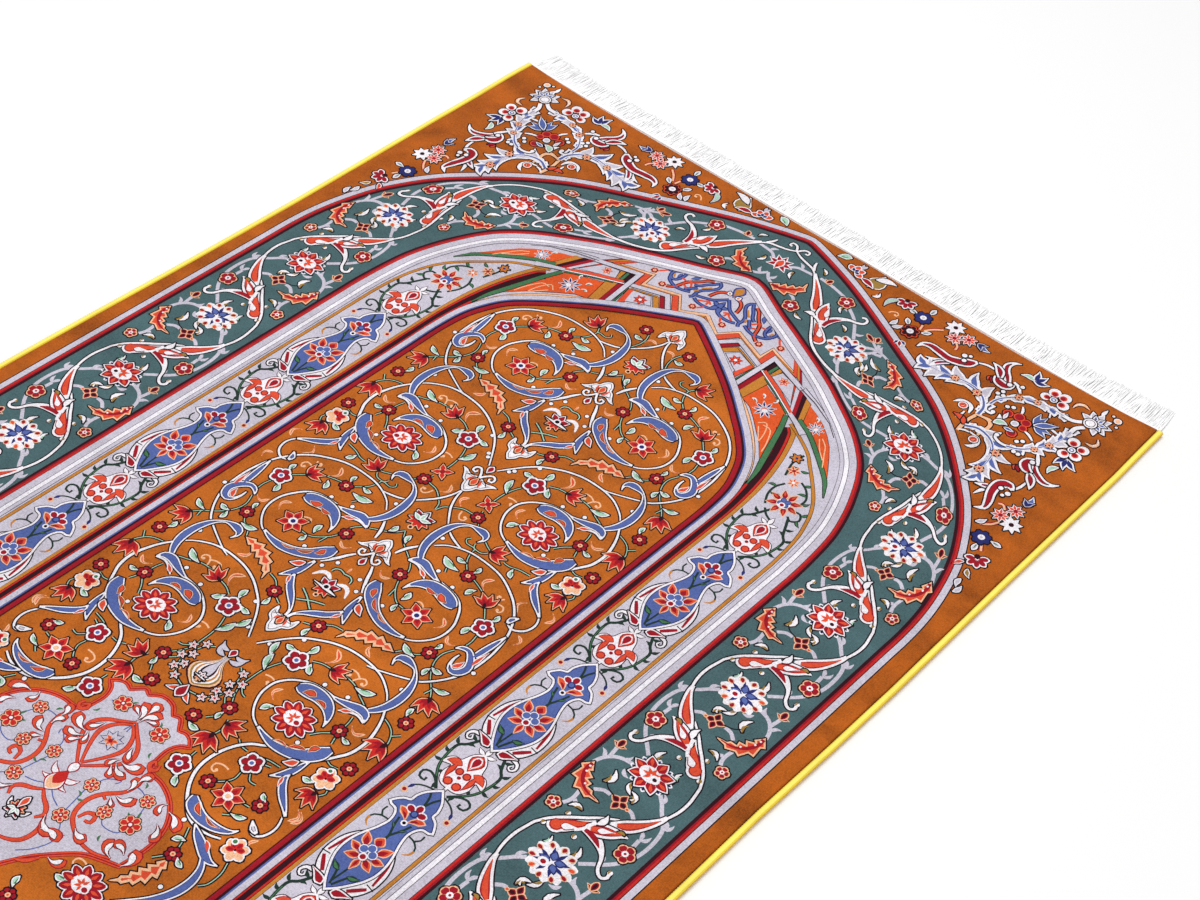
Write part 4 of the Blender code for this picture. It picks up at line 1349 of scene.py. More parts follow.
# Right halves of two palmettes, tip to root: wings spread, and wings drooping
SPREAD_WINGS = ((0.0, -1.08), (0.14, -1.0), (0.30, -0.78), (0.36, -0.58), (0.52, -0.50), (0.70, -0.24),
                (0.86, -0.05), (1.0, 0.05), (0.76, 0.06), (0.50, -0.06), (0.26, -0.02), (0.10, 0.06),
                (0.0, 0.12))
DROOPING_WINGS = ((0.0, -1.22), (0.12, -1.12), (0.30, -0.90), (0.40, -0.62), (0.66, -0.44), (0.76, -0.12),
                  (0.72, 0.26), (0.58, 0.16), (0.50, -0.02), (0.32, -0.06), (0.16, 0.06), (0.0, 0.08))
WHITE_ON_INK = (("ink", -0.0014), ("ivory", 0.0), ("ink", 0.0020), ("ivory", 0.0027))


def lily(chart, u, v, size, turn, outline, level=4):
    """A pointed white palmette with an inner line and a coral heart."""
    with chart.placed(u, v, size, turn):
        chart.crest(WHITE_ON_INK, outline, level)
        for side in (-1, 1):
            chart.leaf(("coral",), side * 0.13, -0.10, side * 26, 0.44, 0.17, level + 4, side * 0.1, BLADE,
                       RIM, 5)
            chart.leaf(("maroon",), side * 0.18, -0.06, side * 66, 0.44, 0.05, level + 4, side * 0.2, SPEAR,
                       RIM, 5)
        chart.leaf(("ink", "peach", "coral"), 0.0, -0.02, 0.0, 0.58, 0.34, level + 5, 0.0, SPEAR, 0.0011)


def fleur(chart, u, v, size, turn, level=4):
    """A palmette with spread wings that stands on two curls and a closed bud."""
    lily(chart, u, v, size, turn, SPREAD_WINGS, level)
    with chart.placed(u, v, size, turn):
        for side in (-1, 1):
            curl = [(0.0, 0.0), (side * 0.16, 0.30), (side * 0.36, 0.50), (side * 0.56, 0.40),
                    (side * 0.56, 0.18), (side * 0.40, 0.14), (side * 0.36, 0.28)]
            chart.line("ivory", curl, level + 6, width=0.10, edge="ink")
        chart.leaf(("ink", "ivory", "crimson"), 0.0, 0.42, 180.0, 0.54, 0.36, level + 8, 0.0, SPEAR, 0.0016)


def palmette(chart, u, v, size, turn=0.0, level=4, green=True):
    """A small fan of red petals over coral ones, with green leaves or one white leaf at its waist."""
    with chart.placed(u, v, size, turn):
        chart.petals(("ink", "ivory", "crimson"), 3, 0.16, 0.86, 0.60, level, sweep=104.0, shape=BLADE,
                     rim=0.0012)
        chart.petals(("ink", "peach", "red"), 5, 0.10, 0.80, 0.46, level + 2, 180.0, 150.0, BLADE, rim=0.0010)
        if green:
            for turn_out in (-66, 66, 0):
                chart.leaf(("ink", "ivory", "mint"), 0.0, 0.05, turn_out, 0.80, 0.40, level + 6, 0.0, BLADE)
        else:
            chart.leaf(("ink", "ivory"), -1.04, 0.10, 90.0, 2.08, 0.24, level + 6, 0.0, SPEAR)
            chart.disc("ivory", 0.0, -0.06, 0.30, level + 8)
            chart.disc("ink", 0.0, -0.06, 0.18, level + 9)
        chart.dot(("peach", "maroon"), 0.0, 0.92, 0.22, level + 7)


def crimson_flowers(chart, *places):
    """Small flowers at these places, each turned a little further than the one before."""
    for index, (u, v) in enumerate(places):
        small_flower(chart, u, v, 7.6, 5, 17.0 * index)


def mint_leaves(chart, *rows):
    """Each row is the root's place, the turn and the length."""
    for u, v, turn, length in rows:
        mint_leaf(chart, u, v, length, turn, 5, 0.12 if turn > 0 else -0.12, 0.52 if length < 16 else 0.36)


def wisps(chart, *rows):
    """Each row is the root's place, the turn, the length and the hand that it bends to."""
    for u, v, turn, length, hand in rows:
        wisp(chart, u, v, length, turn, 2, 0.38 * hand)


def cupped_flower(chart, u, v, eye_u, eye_v, eye_radius):
    """A pale flower of six petals with a red cup, its green eye off the middle."""
    with chart.placed(u, v, 14, -10.0):
        chart.petals(("ink", "ivory", "peach"), 6, 0.10, 0.90, 0.80, 5, rim=0.0016)
        chart.petals(("red", "crimson"), 4, 0.06, 0.60, 0.44, 8, -20, sweep=180.0, rim=0.0016)
        chart.dot(("ivory", "green"), eye_u, eye_v, eye_radius, 10)


def curls(chart, *rows):
    """Peach hooks: each row is the root's place, the turn, the size and whether it is flipped."""
    for u, v, turn, size, flip in rows:
        hook(chart, "peach", u, v, size, turn, 2, flip=flip, width=0.0019)


# Centre lines with widths: the white-rimmed blue shapes of the two scrolls
COMMA_UPPER = (
    (64.5, 330.5, 0.8), (67.5, 324, 3.6), (65, 318, 8.5), (58.5, 315.8, 10), (51, 316.5, 6.5),
    (44.5, 317.5, 3.6), (37.5, 322, 4.4), (31.5, 330, 7), (28, 341, 9.4), (26.5, 356, 10.4), (28.5, 371, 9.6),
    (34, 383, 8), (39.5, 389.5, 6),
)
COMMA_LOWER = (
    (120.5, 514, 0.8), (118, 507.5, 3.6), (120.5, 501.5, 8.5), (127, 499.2, 10), (134.5, 499.8, 6.5),
    (141, 502, 3.6), (147, 507.5, 4.4), (152.3, 516, 7), (156.3, 529, 9.4), (157, 543, 10.4), (155, 555, 9.6),
    (151, 564, 8), (146, 571, 6),
)
CLUB_UPPER = ((32, 443, 8), (34.5, 451.5, 16), (40.5, 460.5, 17), (48.5, 468, 14), (60, 475.5, 12),
              (76, 480.5, 10.5), (92, 480.5, 6.5), (104, 477.5, 3.2))
CLUB_LOWER = ((155.5, 629, 8), (152, 638, 16), (146, 647, 17), (137.5, 655, 14), (125, 660.5, 12),
              (110, 663.5, 9.5), (96, 662, 6), (85, 659, 3.2))
BIG_LEAF_UPPER = ((55.5, 432, 0.6), (58, 423, 5), (64.5, 414, 10.5), (73.5, 408.5, 14.5), (86.5, 407.5, 17),
                  (98.5, 410, 18), (107, 412, 14), (111.5, 413, 7))
BIG_LEAF_LOWER = ((129.2, 616, 0.6), (126.5, 608, 5), (120.5, 600, 10.5), (112, 594.5, 14.5),
                  (100, 592.5, 17), (88, 594.5, 18), (79.5, 597, 14), (75, 597.5, 7))
JOINT_UPPER = ((31.5, 399.5, 1.6), (37.5, 394, 8.5), (47, 391.5, 11), (58, 395, 9), (70, 398.5, 5),
               (78, 400, 2))
JOINT_LOWER = ((153.5, 585, 1.6), (149, 578, 8.5), (140, 575.5, 11), (128, 579, 9), (115, 582.5, 5),
               (106, 583.5, 2))
HOOKED_CLUB = ((150, 450.5, 1.2), (154.5, 445.5, 5.5), (162, 443.5, 6.5), (169, 448, 8), (174.5, 455, 9),
               (177, 463, 9.5), (173.5, 471.5, 9), (167, 474.5, 7), (161, 470, 4), (158.5, 461, 2.6),
               (159, 454, 1.4))


def scroll_upper(chart, first):
    """The upper scroll of a repeat: a comma, a curl with a large leaf, and what grows inside it."""
    cased(chart, COMMA_UPPER, 6)
    vine(chart, [(78, 397.5), (95, 399), (107, 402.5), (116, 409.5), (123, 420), (128, 431), (129.5, 444),
                 (127, 456), (120, 467), (110, 476), (98, 480.5)], 5)
    cased(chart, JOINT_UPPER, 6)
    vine(chart, [(31.5, 400), (43, 398), (53, 401.5), (63.5, 408)], 6, 2.2)
    chart.leaf(("ivory", "coral"), 61, 405.5, -64, 14, 6, 8, 0.0, BLADE, 0.0011, 5)
    cased(chart, BIG_LEAF_UPPER, 7, spots=(("coral", 72, 413, 88, 15, 6), ("coral", 88, 409, 112, 15, 9.5)))
    cased(chart, CLUB_UPPER, 7, spots=(("coral", 38.5, 451, 158, 13, 8), ("coral", 46, 461, 128, 20, 5.5),
                                       ("coral", 62, 472.5, 105, 18, 3.4)))
    # the outer vine
    vine(chart, [(36, 366), (44, 357.5), (51, 353), (59, 349.5), (69, 346.5), (81, 345), (97, 345),
                 (111, 346.5), (124, 350.5), (139, 358), (151, 366), (162, 377), (170, 389), (176, 402),
                 (180, 418), (182, 435), (181.5, 455), (179, 468), (175, 479), (167, 493), (156, 506),
                 (146, 511.5), (137, 516), (126, 521), (113, 526.5), (104, 529)], 4)
    vine(chart, [(33, 340), (39, 343.5), (49, 347), (59, 349.5)], 4)
    vine(chart, [(15, 403), (18.5, 391), (25.5, 378)], 4, 3.0)
    vine(chart, [(12.5, 433), (17, 440.5), (21, 449), (26, 458), (31, 466)], 5, 3.0)
    # blue leaves on the outer vine
    cased(chart, [(176, 404, 1.6), (174.5, 418, 6.5), (172.8, 432, 8), (171.5, 443, 7), (170, 449, 4)], 6)
    cased(chart, HOOKED_CLUB, 7)
    chart.leaf(("ivory", "coral"), 163, 470.5, 24, 15, 7, 10, 0.15, BLADE, 0.0010, 6)
    chart.leaf(("ivory", "coral"), 176.5, 459, 4, 28, 6, 8, 0.0, POINTED, 0.0011, 6)
    # small flowers, leaves and their stems
    stalk(chart, [(56, 331), (53.5, 335), (58, 339.5), (66, 338.8), (70.5, 340)],
          [(0, 373), (7, 383), (15, 389), (24, 394), (29, 397)], [(36, 401), (41, 407), (44, 413)],
          [(70, 340), (71.5, 349), (76, 358), (86, 368)], [(98, 371), (107, 373.5), (117, 377)],
          [(133, 390), (143, 401), (151, 411), (153.5, 423), (155.5, 433), (155, 442)],
          [(45, 427), (50, 436), (57, 444), (66, 450), (79, 451)], [(51, 438), (52.5, 449)],
          [(151, 453), (147, 462), (146, 470), (149, 481), (158, 494), (171, 506), (179, 516)],
          [(171, 506), (169, 514)], [(133, 479), (127, 485), (116, 490), (110, 498)],
          [(66, 377), (70.5, 385)])
    crimson_flowers(chart, (91.3, 372), (40.3, 420.5), (136, 473.5))
    rimmed_flower(chart, 151, 411.5, 12.8, 5)
    star_flower(chart, 92.3, 448, 17, 5, 12)
    tulip(chart, 132, 390.5, 20, -32, 5)
    tulip(chart, 178.5, 515, 22, 155, 5)
    mint_leaves(chart, (77, 360.5, -88, 12), (92.5, 365, 2, 11), (79, 374, -78, 25), (111, 380, 202, 13),
                (151.5, 400, 2, 12), (144, 419.5, 195, 14), (12.5, 386, -12, 13), (65.5, 444, 2, 14),
                (68, 451, 172, 11), (129, 488, -74, 20), (136, 466, 5, 10), (151, 485, 85, 13),
                (151, 487, 180, 12), (170, 503, 68, 18))
    wisps(chart, (116.5, 375, -5, 19, -1), (22, 430, 95, 15, 1), (115.5, 447, -8, 17, 1),
          (148, 448.5, -72, 15, -1), (93, 503, 162, 18, 1))
    curls(chart, (134, 382, 40, 15, False), (91, 438, -30, 12, True), (140, 368, 200, 8, False))
    knobs(chart, (35, 352.5), (16.5, 455), (25.5, 469), (90.5, 394.5), (64.5, 388.5), (185.5, 461),
          (58, 463.5))
    feather(chart, [(110, 498), (97, 498.5), (82, 501), (68, 508), (58, 518), (55.5, 526)], 13, 6,
            ("peach", "coral"), 4, both=True, rim=0.0028)
    # the leaf that falls from the club to the middle line
    cased(chart, [(34.5, 470, 3), (36, 482, 7), (38.5, 494, 9), (43, 502, 6), (47.5, 509, 1)], 6)
    cased(chart, [(36, 497, 2), (33.5, 504, 7), (27, 512, 8.4), (17, 520, 8), (7, 529, 4.6), (2.5, 536, 3),
                  (1.5, 542, 3)], 7)
    chart.leaf(("ink", "ivory", "coral"), 40, 478, 132, 17, 9, 8, 0.1, BLADE, 0.0014, 6)
    chart.leaf(("ivory", "coral"), 38, 501, 205, 13, 5, 11, 0.0, BLADE, 0.0010, 5)
    if first:
        stalk(chart, [(26, 330), (22.5, 320), (22, 309), (25, 300)], [(74, 332), (70, 340)])
        crimson_flowers(chart, (33, 294.5))
        tulip(chart, 75, 331, 21, 62, 5)
        mint_leaves(chart, (24.5, 311.5, 85, 12))
        wisps(chart, (20.5, 313, -60, 15, 1))
        vine(chart, [(0.5, 289), (3, 301), (9, 313.5), (17, 324.5), (26, 335)], 4)
    else:
        stalk(chart, [(70, 324), (78, 328), (85, 330.5)], [(65, 334), (68, 339), (78, 339), (83, 334)],
              [(0.5, 328), (3, 320), (8, 315), (20, 306.5), (33, 304.5)], [(46, 309), (49, 313)])
        tulip(chart, 84.5, 330.5, 21, 62, 5)
        vine(chart, [(0.5, 288), (3, 300), (9, 313.5), (17, 324.5), (25, 334)], 4)


def axis_upper(chart, first):
    """What stands on the middle line beside the upper scroll."""
    if first:
        lily(chart, 0, 289, 22, 0, DROOPING_WINGS)
    palmette(chart, 0, 351, 16)
    fleur(chart, 0, 418.5, 24, 0)
    for side in (-1, 1):
        chart.line("mint", [(0, 461), (side * 7, 459.5), (side * 12, 462.5), (side * 13, 467)], 3, width=1.3,
                   edge="ink")
        chart.line("ivory", [(side * 4, 477.5), (side * 12, 472.5), (side * 19, 475), (side * 24, 484)], 3,
                   width=(3, 5, 4.6, 1.6))
        chart.line("mint", [(0, 512), (side * 7, 508), (side * 16, 504)], 3, width=1.4, edge="ink")
        chart.line("mint", [(0, 512), (side * 4, 515), (side * 10, 519)], 3, width=1.4, edge="ink")
    wisp(chart, 0, 460, 10, 0, 2, 0.0)
    palmette(chart, 0, 487.5, 15, green=False)
    lily(chart, 0, 543, 21.5, 180, DROOPING_WINGS)


def scroll_lower(chart, first):
    """The lower scroll of a repeat, which turns the other way. The second one leaves room for the vase."""
    cased(chart, COMMA_LOWER, 6)
    vine(chart, [(150, 550), (145, 544.5), (136, 538), (124, 532), (110, 529), (95, 528.5), (82, 529.5),
                 (71, 532), (58, 537), (46, 544), (34, 552.5), (24, 563.5), (17, 573.5), (11, 582.5),
                 (6, 590.5)], 4)
    cased(chart, JOINT_LOWER, 6)
    vine(chart, [(153.5, 585.5), (143, 582.5), (133, 586), (124.5, 591.5)], 6, 2.2)
    chart.leaf(("ivory", "coral"), 125.5, 590, 58, 14, 6, 8, 0.0, BLADE, 0.0011, 5)
    vine(chart, [(157, 559), (163.5, 570), (168.5, 582), (172, 595), (172.7, 607), (170.5, 620), (165.5, 630),
                 (160, 640), (152, 651)], 5, 2.8)
    vine(chart, [(108, 582.5), (97, 583), (84, 585.5), (71.7, 592), (62.7, 600), (56.7, 610), (55.3, 620),
                 (56.7, 631), (62.7, 643.5), (71.7, 653.5), (82.7, 659), (92.7, 661)], 5)
    cased(chart, BIG_LEAF_LOWER, 7,
          spots=(("coral", 115, 599.5, -84, 15, 6), ("coral", 98, 595, -112, 15, 9.5)))
    cased(chart, CLUB_LOWER, 7, spots=(("coral", 147, 635, 205, 13, 8), ("coral", 139, 646.5, 235, 20, 5.5),
                                       ("coral", 123, 657, 258, 18, 3.4)))
    stalk(chart, [(54, 518), (44, 520), (37, 525)], [(27, 535), (18, 539)],
          [(62, 567), (72, 562), (84, 560), (98, 557), (113, 558), (126, 564), (138, 569), (143, 572)],
          [(42, 590), (38, 600), (35.5, 613), (35, 626 if first else 640)],
          [(162, 566), (173, 569), (181, 574), (187, 583), (189, 590)], [(184, 577), (190, 570)],
          [(141, 587), (143, 594), (144, 602)], [(147, 616), (150, 624)],
          [(140, 615), (133, 622), (127, 631)], [(161, 640), (168, 642), (176, 640)],
          [(186, 662), (189, 668), (186, 674)], [(136, 677), (123, 679), (112, 683), (104, 683)])
    crimson_flowers(chart, (33, 531.5), (182.8, 556), (144.3, 608), (184, 632.5))
    rimmed_flower(chart, 50.3, 577.5, 13.8, 5, 10.0)
    tulip(chart, 83.5, 561, 20, 66, 5)
    tulip(chart, 188, 589, 24, 196, 5)
    tulip(chart, 182, 674, 21, 190, 5)
    if first:
        stalk(chart, [(37.5, 645), (39.5, 652)])
        crimson_flowers(chart, (40.5, 656))
        with chart.placed(34.5, 634, 12.5, 40.0):
            chart.petals(("ink", "peach", "red"), 4, 0.04, 0.96, 0.62, 5, shape=POINTED, rim=0.0011)
            chart.disc("crimson", 0.0, 0.0, 0.26, 9)
    great_flower(chart, 103, 629)
    cupped_flower(chart, 176.5, 656, -0.10, -0.66, 0.26)
    mint_leaves(chart, (29.5, 540, 178, 12), (116, 560, 68, 22), (51, 564, 5, 15), (41, 568.5, -95, 13),
                (64, 570, 140, 14), (36.5, 608, -22, 22), (151.5, 611, 95, 11), (177, 550, -5, 12),
                (78, 632, 215, 14), (172, 667, -100, 13), (117.5, 683, 150, 13))
    wisps(chart, (72, 560, -10, 22, 1), (148, 594.5, 85, 17, 1), (71, 627, -10, 16, -1),
          (16, 657, -8, 16, -1), (188, 698, 172, 16, -1))
    curls(chart, (111, 549, -50, 15, True), (108, 556, 10, 14, False), (42, 611, 60, 14, False),
          (22, 661, 180, 13, True))
    knobs(chart, (36, 554), (19.5, 577), (16, 582), (92.5, 578.5), (119.8, 573.5), (150, 529.5), (126, 645.5))
    # the leaf that falls from the lower club towards the field's side
    cased(chart, [(150.5, 653, 3), (149, 665, 7), (146, 676, 9), (141.5, 684, 6), (136, 690.5, 1)], 6)
    cased(chart, [(148.5, 676, 2), (149.5, 684, 7), (155.5, 692, 8.4), (164.5, 699.5, 8), (174.5, 706.5, 5),
                  (181.5, 712, 2.6)], 7)
    chart.leaf(("ink", "ivory", "coral"), 144, 660, 225, 16, 9, 8, -0.1, BLADE, 0.0014, 6)
    chart.leaf(("ivory", "coral"), 146.5, 682, 160, 13, 5, 11, 0.0, BLADE, 0.0010, 5)


def hanging_vine(chart):
    """From the lower club's leaf, down the side of the field and into the next repeat's outer vine."""
    vine(chart, [(180, 710), (185, 718), (186.5, 727), (183, 737), (174, 743.5), (166, 742), (163, 735)], 4)
    cased(chart, [(164, 741, 3), (164, 735, 7), (168.5, 728, 1.6)], 7)
    wisps(chart, (160, 706, 175, 18, 1), (188, 758, -20, 14, 1))


def field(chart):
    """The scrolls of the niche: two repeats and part of a third above the medallion."""
    with chart.thousandths(lift=6):
        for repeat in range(2):
            with chart.placed(0.0, FIELD_PERIOD * repeat):
                scroll_upper(chart, repeat == 0)
                with chart.placed(0.0, -LOWER_DRIFT * repeat):
                    scroll_lower(chart, repeat == 0)
                with chart.once():
                    axis_upper(chart, repeat == 0)
                    if repeat == 0:
                        fleur(chart, 0, 612, 25, 180)
        hanging_vine(chart)
        lower_field(chart)
        with chart.once():
            vase(chart)


def lower_field(chart):
    """Round the medallion: the scrolls go on, with the flowers between them."""
    vine(chart, [(180, 1062), (184, 1070), (185.5, 1079), (183, 1089), (177, 1094.5), (170, 1093),
                 (165, 1087)], 4)
    cased(chart, [(177, 1091.5, 3), (171, 1090, 7), (163.5, 1084, 1.2)], 7, heart="grey", inner_line="ink")
    vine(chart, [(124, 1008), (113, 1013.5), (104, 1020), (96, 1026), (88, 1037), (82.5, 1051), (80.5, 1066),
                 (82, 1080), (87, 1092), (94, 1102), (104, 1112), (116, 1121), (130, 1125), (146, 1123),
                 (158, 1118)], 4, 2.8)
    cased(chart, [(104.5, 1102.5, 6), (109, 1108.5, 14), (117, 1113, 14.5), (129, 1115.5, 13),
                  (143, 1114, 10.5), (154, 1110, 7), (160, 1105.5, 4), (163, 1100.5, 1)], 7,
          spots=(("coral", 113, 1105, 125, 16, 6.5), ("coral", 129, 1110.5, 92, 20, 4)))
    cased(chart, [(129, 1123.5, 1.6), (139, 1129.5, 8), (152, 1135.5, 11), (163, 1141, 10), (171, 1142, 6),
                  (178.5, 1140, 1.2)], 6)
    chart.leaf(("ivory", "coral"), 150, 1128, 128, 15, 6.5, 8, 0.0, BLADE, 0.0011, 5)
    cased(chart, [(162, 1143, 5), (169.5, 1152, 7), (174, 1165, 9.4), (174, 1179, 10.4), (170, 1193, 9.6),
                  (162, 1207, 8), (151, 1220, 6), (140, 1231, 3)], 6)
    stalk(chart, [(114, 1054), (115.5, 1064), (111, 1073), (104, 1080)],
          [(122, 1050), (128, 1056), (135, 1055)], [(150, 1076), (139, 1078), (128, 1081)],
          [(100, 1034), (91, 1034), (84, 1030)], [(130, 1031), (122, 1034)],
          [(59, 1022), (63, 1034), (62, 1044)], [(66, 1068), (66.5, 1076)],
          [(41, 1035), (46, 1028), (50, 1021)], [(35, 985), (39, 996), (46, 1006)],
          [(138, 1099), (146, 1093), (152, 1090)], [(128, 1130), (135, 1143), (139, 1154)],
          [(136, 1165), (129, 1175)], [(182, 1130), (187, 1143), (187, 1158), (182, 1166)])
    crimson_flowers(chart, (31, 1041.5), (156, 1068), (100.5, 1083.5), (140, 1159.5), (49, 1011.5))
    rimmed_flower(chart, 114, 1041, 12.8, 5, 30)
    rimmed_flower(chart, 66, 1089, 13, 5, 0)
    star_flower(chart, 127, 1082, 17, 5, 8, eye=("ivory", "peach"))
    tulip(chart, 61.5, 1026, 21, 84, 5)
    tulip(chart, 62, 1044, 24, 170, 5)
    mint_leaves(chart, (34, 1050, 90, 14), (49, 1019, 180, 11), (74, 1098, 140, 14), (157, 1062, -58, 11),
                (143, 1093, 65, 16), (137, 1142, 235, 13), (146, 1159, 112, 12), (28, 940, -20, 20))
    wisps(chart, (184, 1046, 172, 16, -1), (187, 1110, -10, 15, -1))
    curls(chart, (104, 1061, -75, 16, True), (96, 1222, -60, 14, True))
    cupped_flower(chart, 177, 1117, -0.40, -0.50, 0.28)
    feather(chart, [(141, 1166), (142, 1180), (138, 1194), (131, 1206), (121, 1218)], 14, 6,
            ("peach", "coral"), 4, both=True, rim=0.0028)
    knobs(chart, (118, 1127.5), (159, 1190))
    great_flower(chart, 109, 1238)
    mint_leaves(chart, (96, 1244, -100, 14))
    # plain sprigs where the photo ends
    for v in (1290, 1345):
        crimson_flowers(chart, (70, v), (160, v + 22))
        rimmed_flower(chart, 115, v + 8, 12.8, 5)
        mint_leaves(chart, (80, v, 80, 13), (66, v - 8, -20, 13), (128, v + 8, 95, 13),
                    (154, v + 14, -30, 12))


def vase_spray(chart):
    """The blossoms and leaves on one side of the vase."""
    stalk(chart, [(2, 26), (16, 22), (29, 10), (31, -6), (27, -22), (19, -30)], level=3)
    for u, v in ((36, -16), (35, 0), (30, 14), (27, -26), (20, 22), (27, -8), (24, 6)):
        spiky_flower(chart, u, v, 5.4, ("ink", "ivory", "coral"), "crimson", 4, 9.0 * u, 5)
    chart.leaf(("ink", "grey"), 4, -28, 52, 16, 6, 5, 0.25, BLADE)
    chart.leaf(("ink", "grey"), 5, -36, 66, 14, 5, 5, 0.25, BLADE)
    chart.leaf(("ink", "ivory", "coral"), 3, 26, 128, 17, 7, 6, 0.1, BLADE, 0.0012)
    stalk(chart, [(38, -14), (44, -9), (49, -8)], [(36, 6), (42, 12)], level=3)


VASE_SHAPE = (0.10, 0.75, 1.0, 0.92, 0.52, 0.22, 0.16, 0.10)
VASE_STRIPES = ("maroon", "peach", "olive", "ivory", "tan", "ivory", "maroon", "grey")


def vase(chart):
    """The striped vase with a crown of leaves on the middle line, above the medallion."""
    with chart.placed(0.0, 1000.0):
        for flip in (True, False):
            with chart.placed(0.0, 0.0, flip=flip):
                vase_spray(chart)
        for place, dye in enumerate(VASE_STRIPES):
            wide = 42.0 - 4.6 * place
            chart.leaf((dye,), 0.0, 20 - 1.6 * place, 0.0, 58 - 2.6 * place, wide, 8 + place, 0.0,
                       VASE_SHAPE, RIM, 12)
        palmette(chart, 0.0, 6, 6.5, 0.0, 17, green=False)
        chart.leaf(("ink", "ivory", "crimson"), 0.0, -30, 0.0, 12, 9, 18, 0.0, SPEAR, 0.0013)
        chart.leaf(("ink", "ivory", "crimson"), 0.0, 20, 180.0, 19, 13, 18, 0.0, SPEAR, 0.0016)


# ---------------------------------------------------------------- the medallion

MEDALLION_SIDE = (  # runs of its outline from the tip to the foot, with a cusp between two runs
    ((0, 1046), (9, 1048), (18, 1055.5)), ((18, 1055.5), (26, 1053), (36, 1063.5)),
    ((36, 1063.5), (44, 1061), (52, 1063.5), (59, 1070)),
    ((59, 1070), (51, 1075.5), (46.5, 1087), (48, 1104)),
    ((48, 1104), (56, 1114), (72, 1115.5), (88, 1121), (102, 1131), (113, 1146), (118.5, 1166), (118, 1186),
     (116, 1202)), ((116, 1202), (98, 1209), (82, 1217), (66, 1233), (50, 1253), (36, 1278)),
     ((36, 1278), (20, 1282), (0, 1300)),
)


def coral_line(chart, *paths, width=5.4, level=3):
    """Coral straps with a thin crimson line on both sides."""
    for points in paths:
        shares = np.linspace(0.6, 1.0, 3)
        taper = np.concatenate([shares, shares[::-1]]) * width
        chart.line("crimson", points, level, width=taper)
        chart.line("coral", points, level + 1, width=taper - 1.5)


def coral_leaves(chart, *rows, level=6):
    """Half palmettes with ivory hearts: each row is the root, the turn, the length, the width, the bend."""
    for u, v, turn, length, width, bend in rows:
        chart.leaf(("crimson", "coral"), u, v, turn, length * 1.2, width * 1.45, level, bend, COMMA, 0.0010,
                   8)
        chart.leaf(("maroon", "ivory"), u, v, turn, length * 0.98, width * 0.80, level + 2, bend, COMMA,
                   0.0007, 8)


def medallion(chart):
    """The pale lobed medallion on the middle line. What the photo cuts off of its foot is plain."""
    side = np.vstack([smooth(run, 4.0)[:-1] for run in MEDALLION_SIDE] + [[(0, 1300)]])
    closed = np.vstack([side, side[::-1][1:-1] * [-1.0, 1.0]])
    loop = np.vstack([closed, closed[:1]])
    with chart.thousandths(lift=9):
        with chart.once():
            chart.fill("grey", closed, 0)
            for dye, width, level in (("crimson", 5.6, 1), ("coral", 4.2, 2), ("crimson", 1.2, 3)):
                chart.ribbon(dye, np.column_stack([loop, np.full(len(loop), width)]), level)
        with chart.placed(0.0, 0.0, lift=4):
            medallion_side(chart)
            with chart.once():
                medallion_axis(chart)


